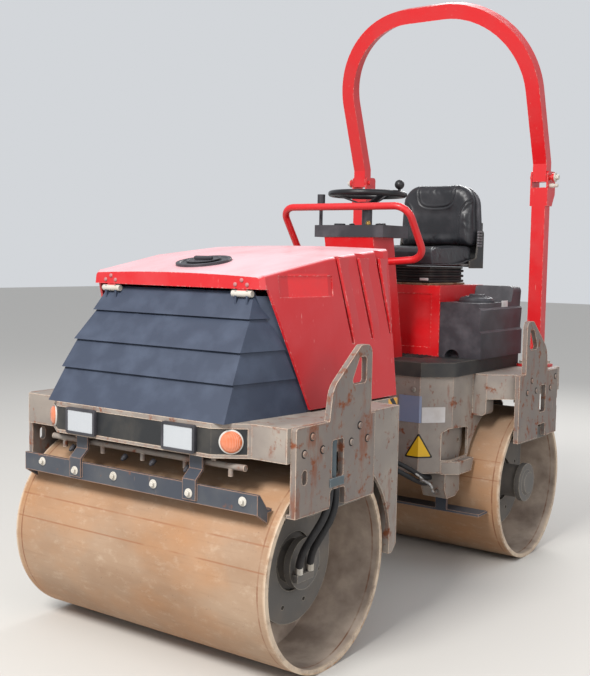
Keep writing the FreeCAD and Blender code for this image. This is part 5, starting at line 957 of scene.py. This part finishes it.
# Floor mat: ribbed rubber where the operator's feet rest. Its ribs are wider apart than real ones.
MAT_Y, tray_top = 0.497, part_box("floor_tray")[1][2]
mat_pieces = [slab((0, MAT_Y, tray_top + 0.0015), (0.440, 0.110, 0.003), 0.001)]
mat_pieces += [slab((-0.2 + 0.025 * n, MAT_Y, tray_top + 0.004), (0.008, 0.095, 0.004), 0.001)
               for n in range(17)]
seat_in(joined(mat_pieces), "floor_mat", "rear_frame", black_rubber)

# Fittings of the motor's hoses, the clamp and pipe in the plate's slot, and two thin pipes at the centre.
seat_in(slab((0.526, -0.918, 0.330), (0.022, 0.100, 0.028), 0.003), "front_motor_port_block", "front_frame",
        carrier_enamel)
fitting = disc(0.0125, 0.028, [(0.002, 0.001)], 6, 0.0006)
seat_in(copies(fitting, [(0.532, -0.950, 0.344), (0.532, -0.885, 0.344)], (0, 0, 1)), "front_motor_fittings",
        "front_frame", bright_bolt)
seat_in(slab((0.6440, -0.900, 0.676), (0.005, 0.086, 0.030), 0.0015), "hose_clamp_plate", "front_frame",
        blue_grey_enamel)
tube("plate_slot_pipe", [(0.620, -0.902, 0.672), (0.620, -0.902, 0.720), (0.616, -0.898, 0.770),
                         (0.614, -0.890, 0.835)], 0.019, "front_frame", blue_grey_enamel)
tube("centre_straight_pipe", [(0.300, 0.170, 0.520), (0.330, 0.205, 0.485), (0.362, 0.235, 0.450)], 0.006,
     "rear_frame", zinc_pipe)
tube("centre_bent_pipe", [(0.355, 0.225, 0.448), (0.392, 0.235, 0.440), (0.402, 0.245, 0.420),
                          (0.402, 0.260, 0.385), (0.385, 0.335, 0.385)], 0.007, "rear_frame", zinc_pipe)

# Floor and light: a pale studio floor, a soft sun high in front, weak fill from the left, light from behind.
fresh()
bpy.ops.mesh.primitive_plane_add(size=60, location=(0, 0, 0))
floor = bpy.context.object
floor.name = "studio_floor"
dress(floor, start("pale_studio_floor", Base_color=colour("#C9C6C1"), Roughness=0.9)[0])

world = bpy.context.scene.world or bpy.data.worlds.new("studio")
bpy.context.scene.world = world
world.use_nodes = True
sky = world.node_tree.nodes["Background"].inputs
sky["Color"].default_value, sky["Strength"].default_value = (0.93, 0.96, 1.0, 1), 0.70


def softbox(name, place, aim, size, power, tint=(1, 1, 1)):
    """A round soft light of a size in metres and a power in watts, aimed at a point."""
    data = bpy.data.lights.new(name, "AREA")
    data.shape, data.size, data.energy, data.color = "DISK", size, power, tint
    made = bpy.data.objects.new(name, data)
    bpy.context.scene.collection.objects.link(made)
    made.location = place
    made.rotation_euler = (Vector(aim) - Vector(place)).to_track_quat("-Z", "Y").to_euler()


softbox("key_softbox", (0.5, -5.5, 5.3), (0, 0, 0.9), 2.2, 500, (1.0, 0.98, 0.95))
softbox("fill_softbox", (5.5, -2.0, 3.0), (0, 0, 0.9), 3.0, 60)
softbox("back_softbox", (-1.0, 5.5, 4.5), (0, 0, 1.2), 3.0, 160)
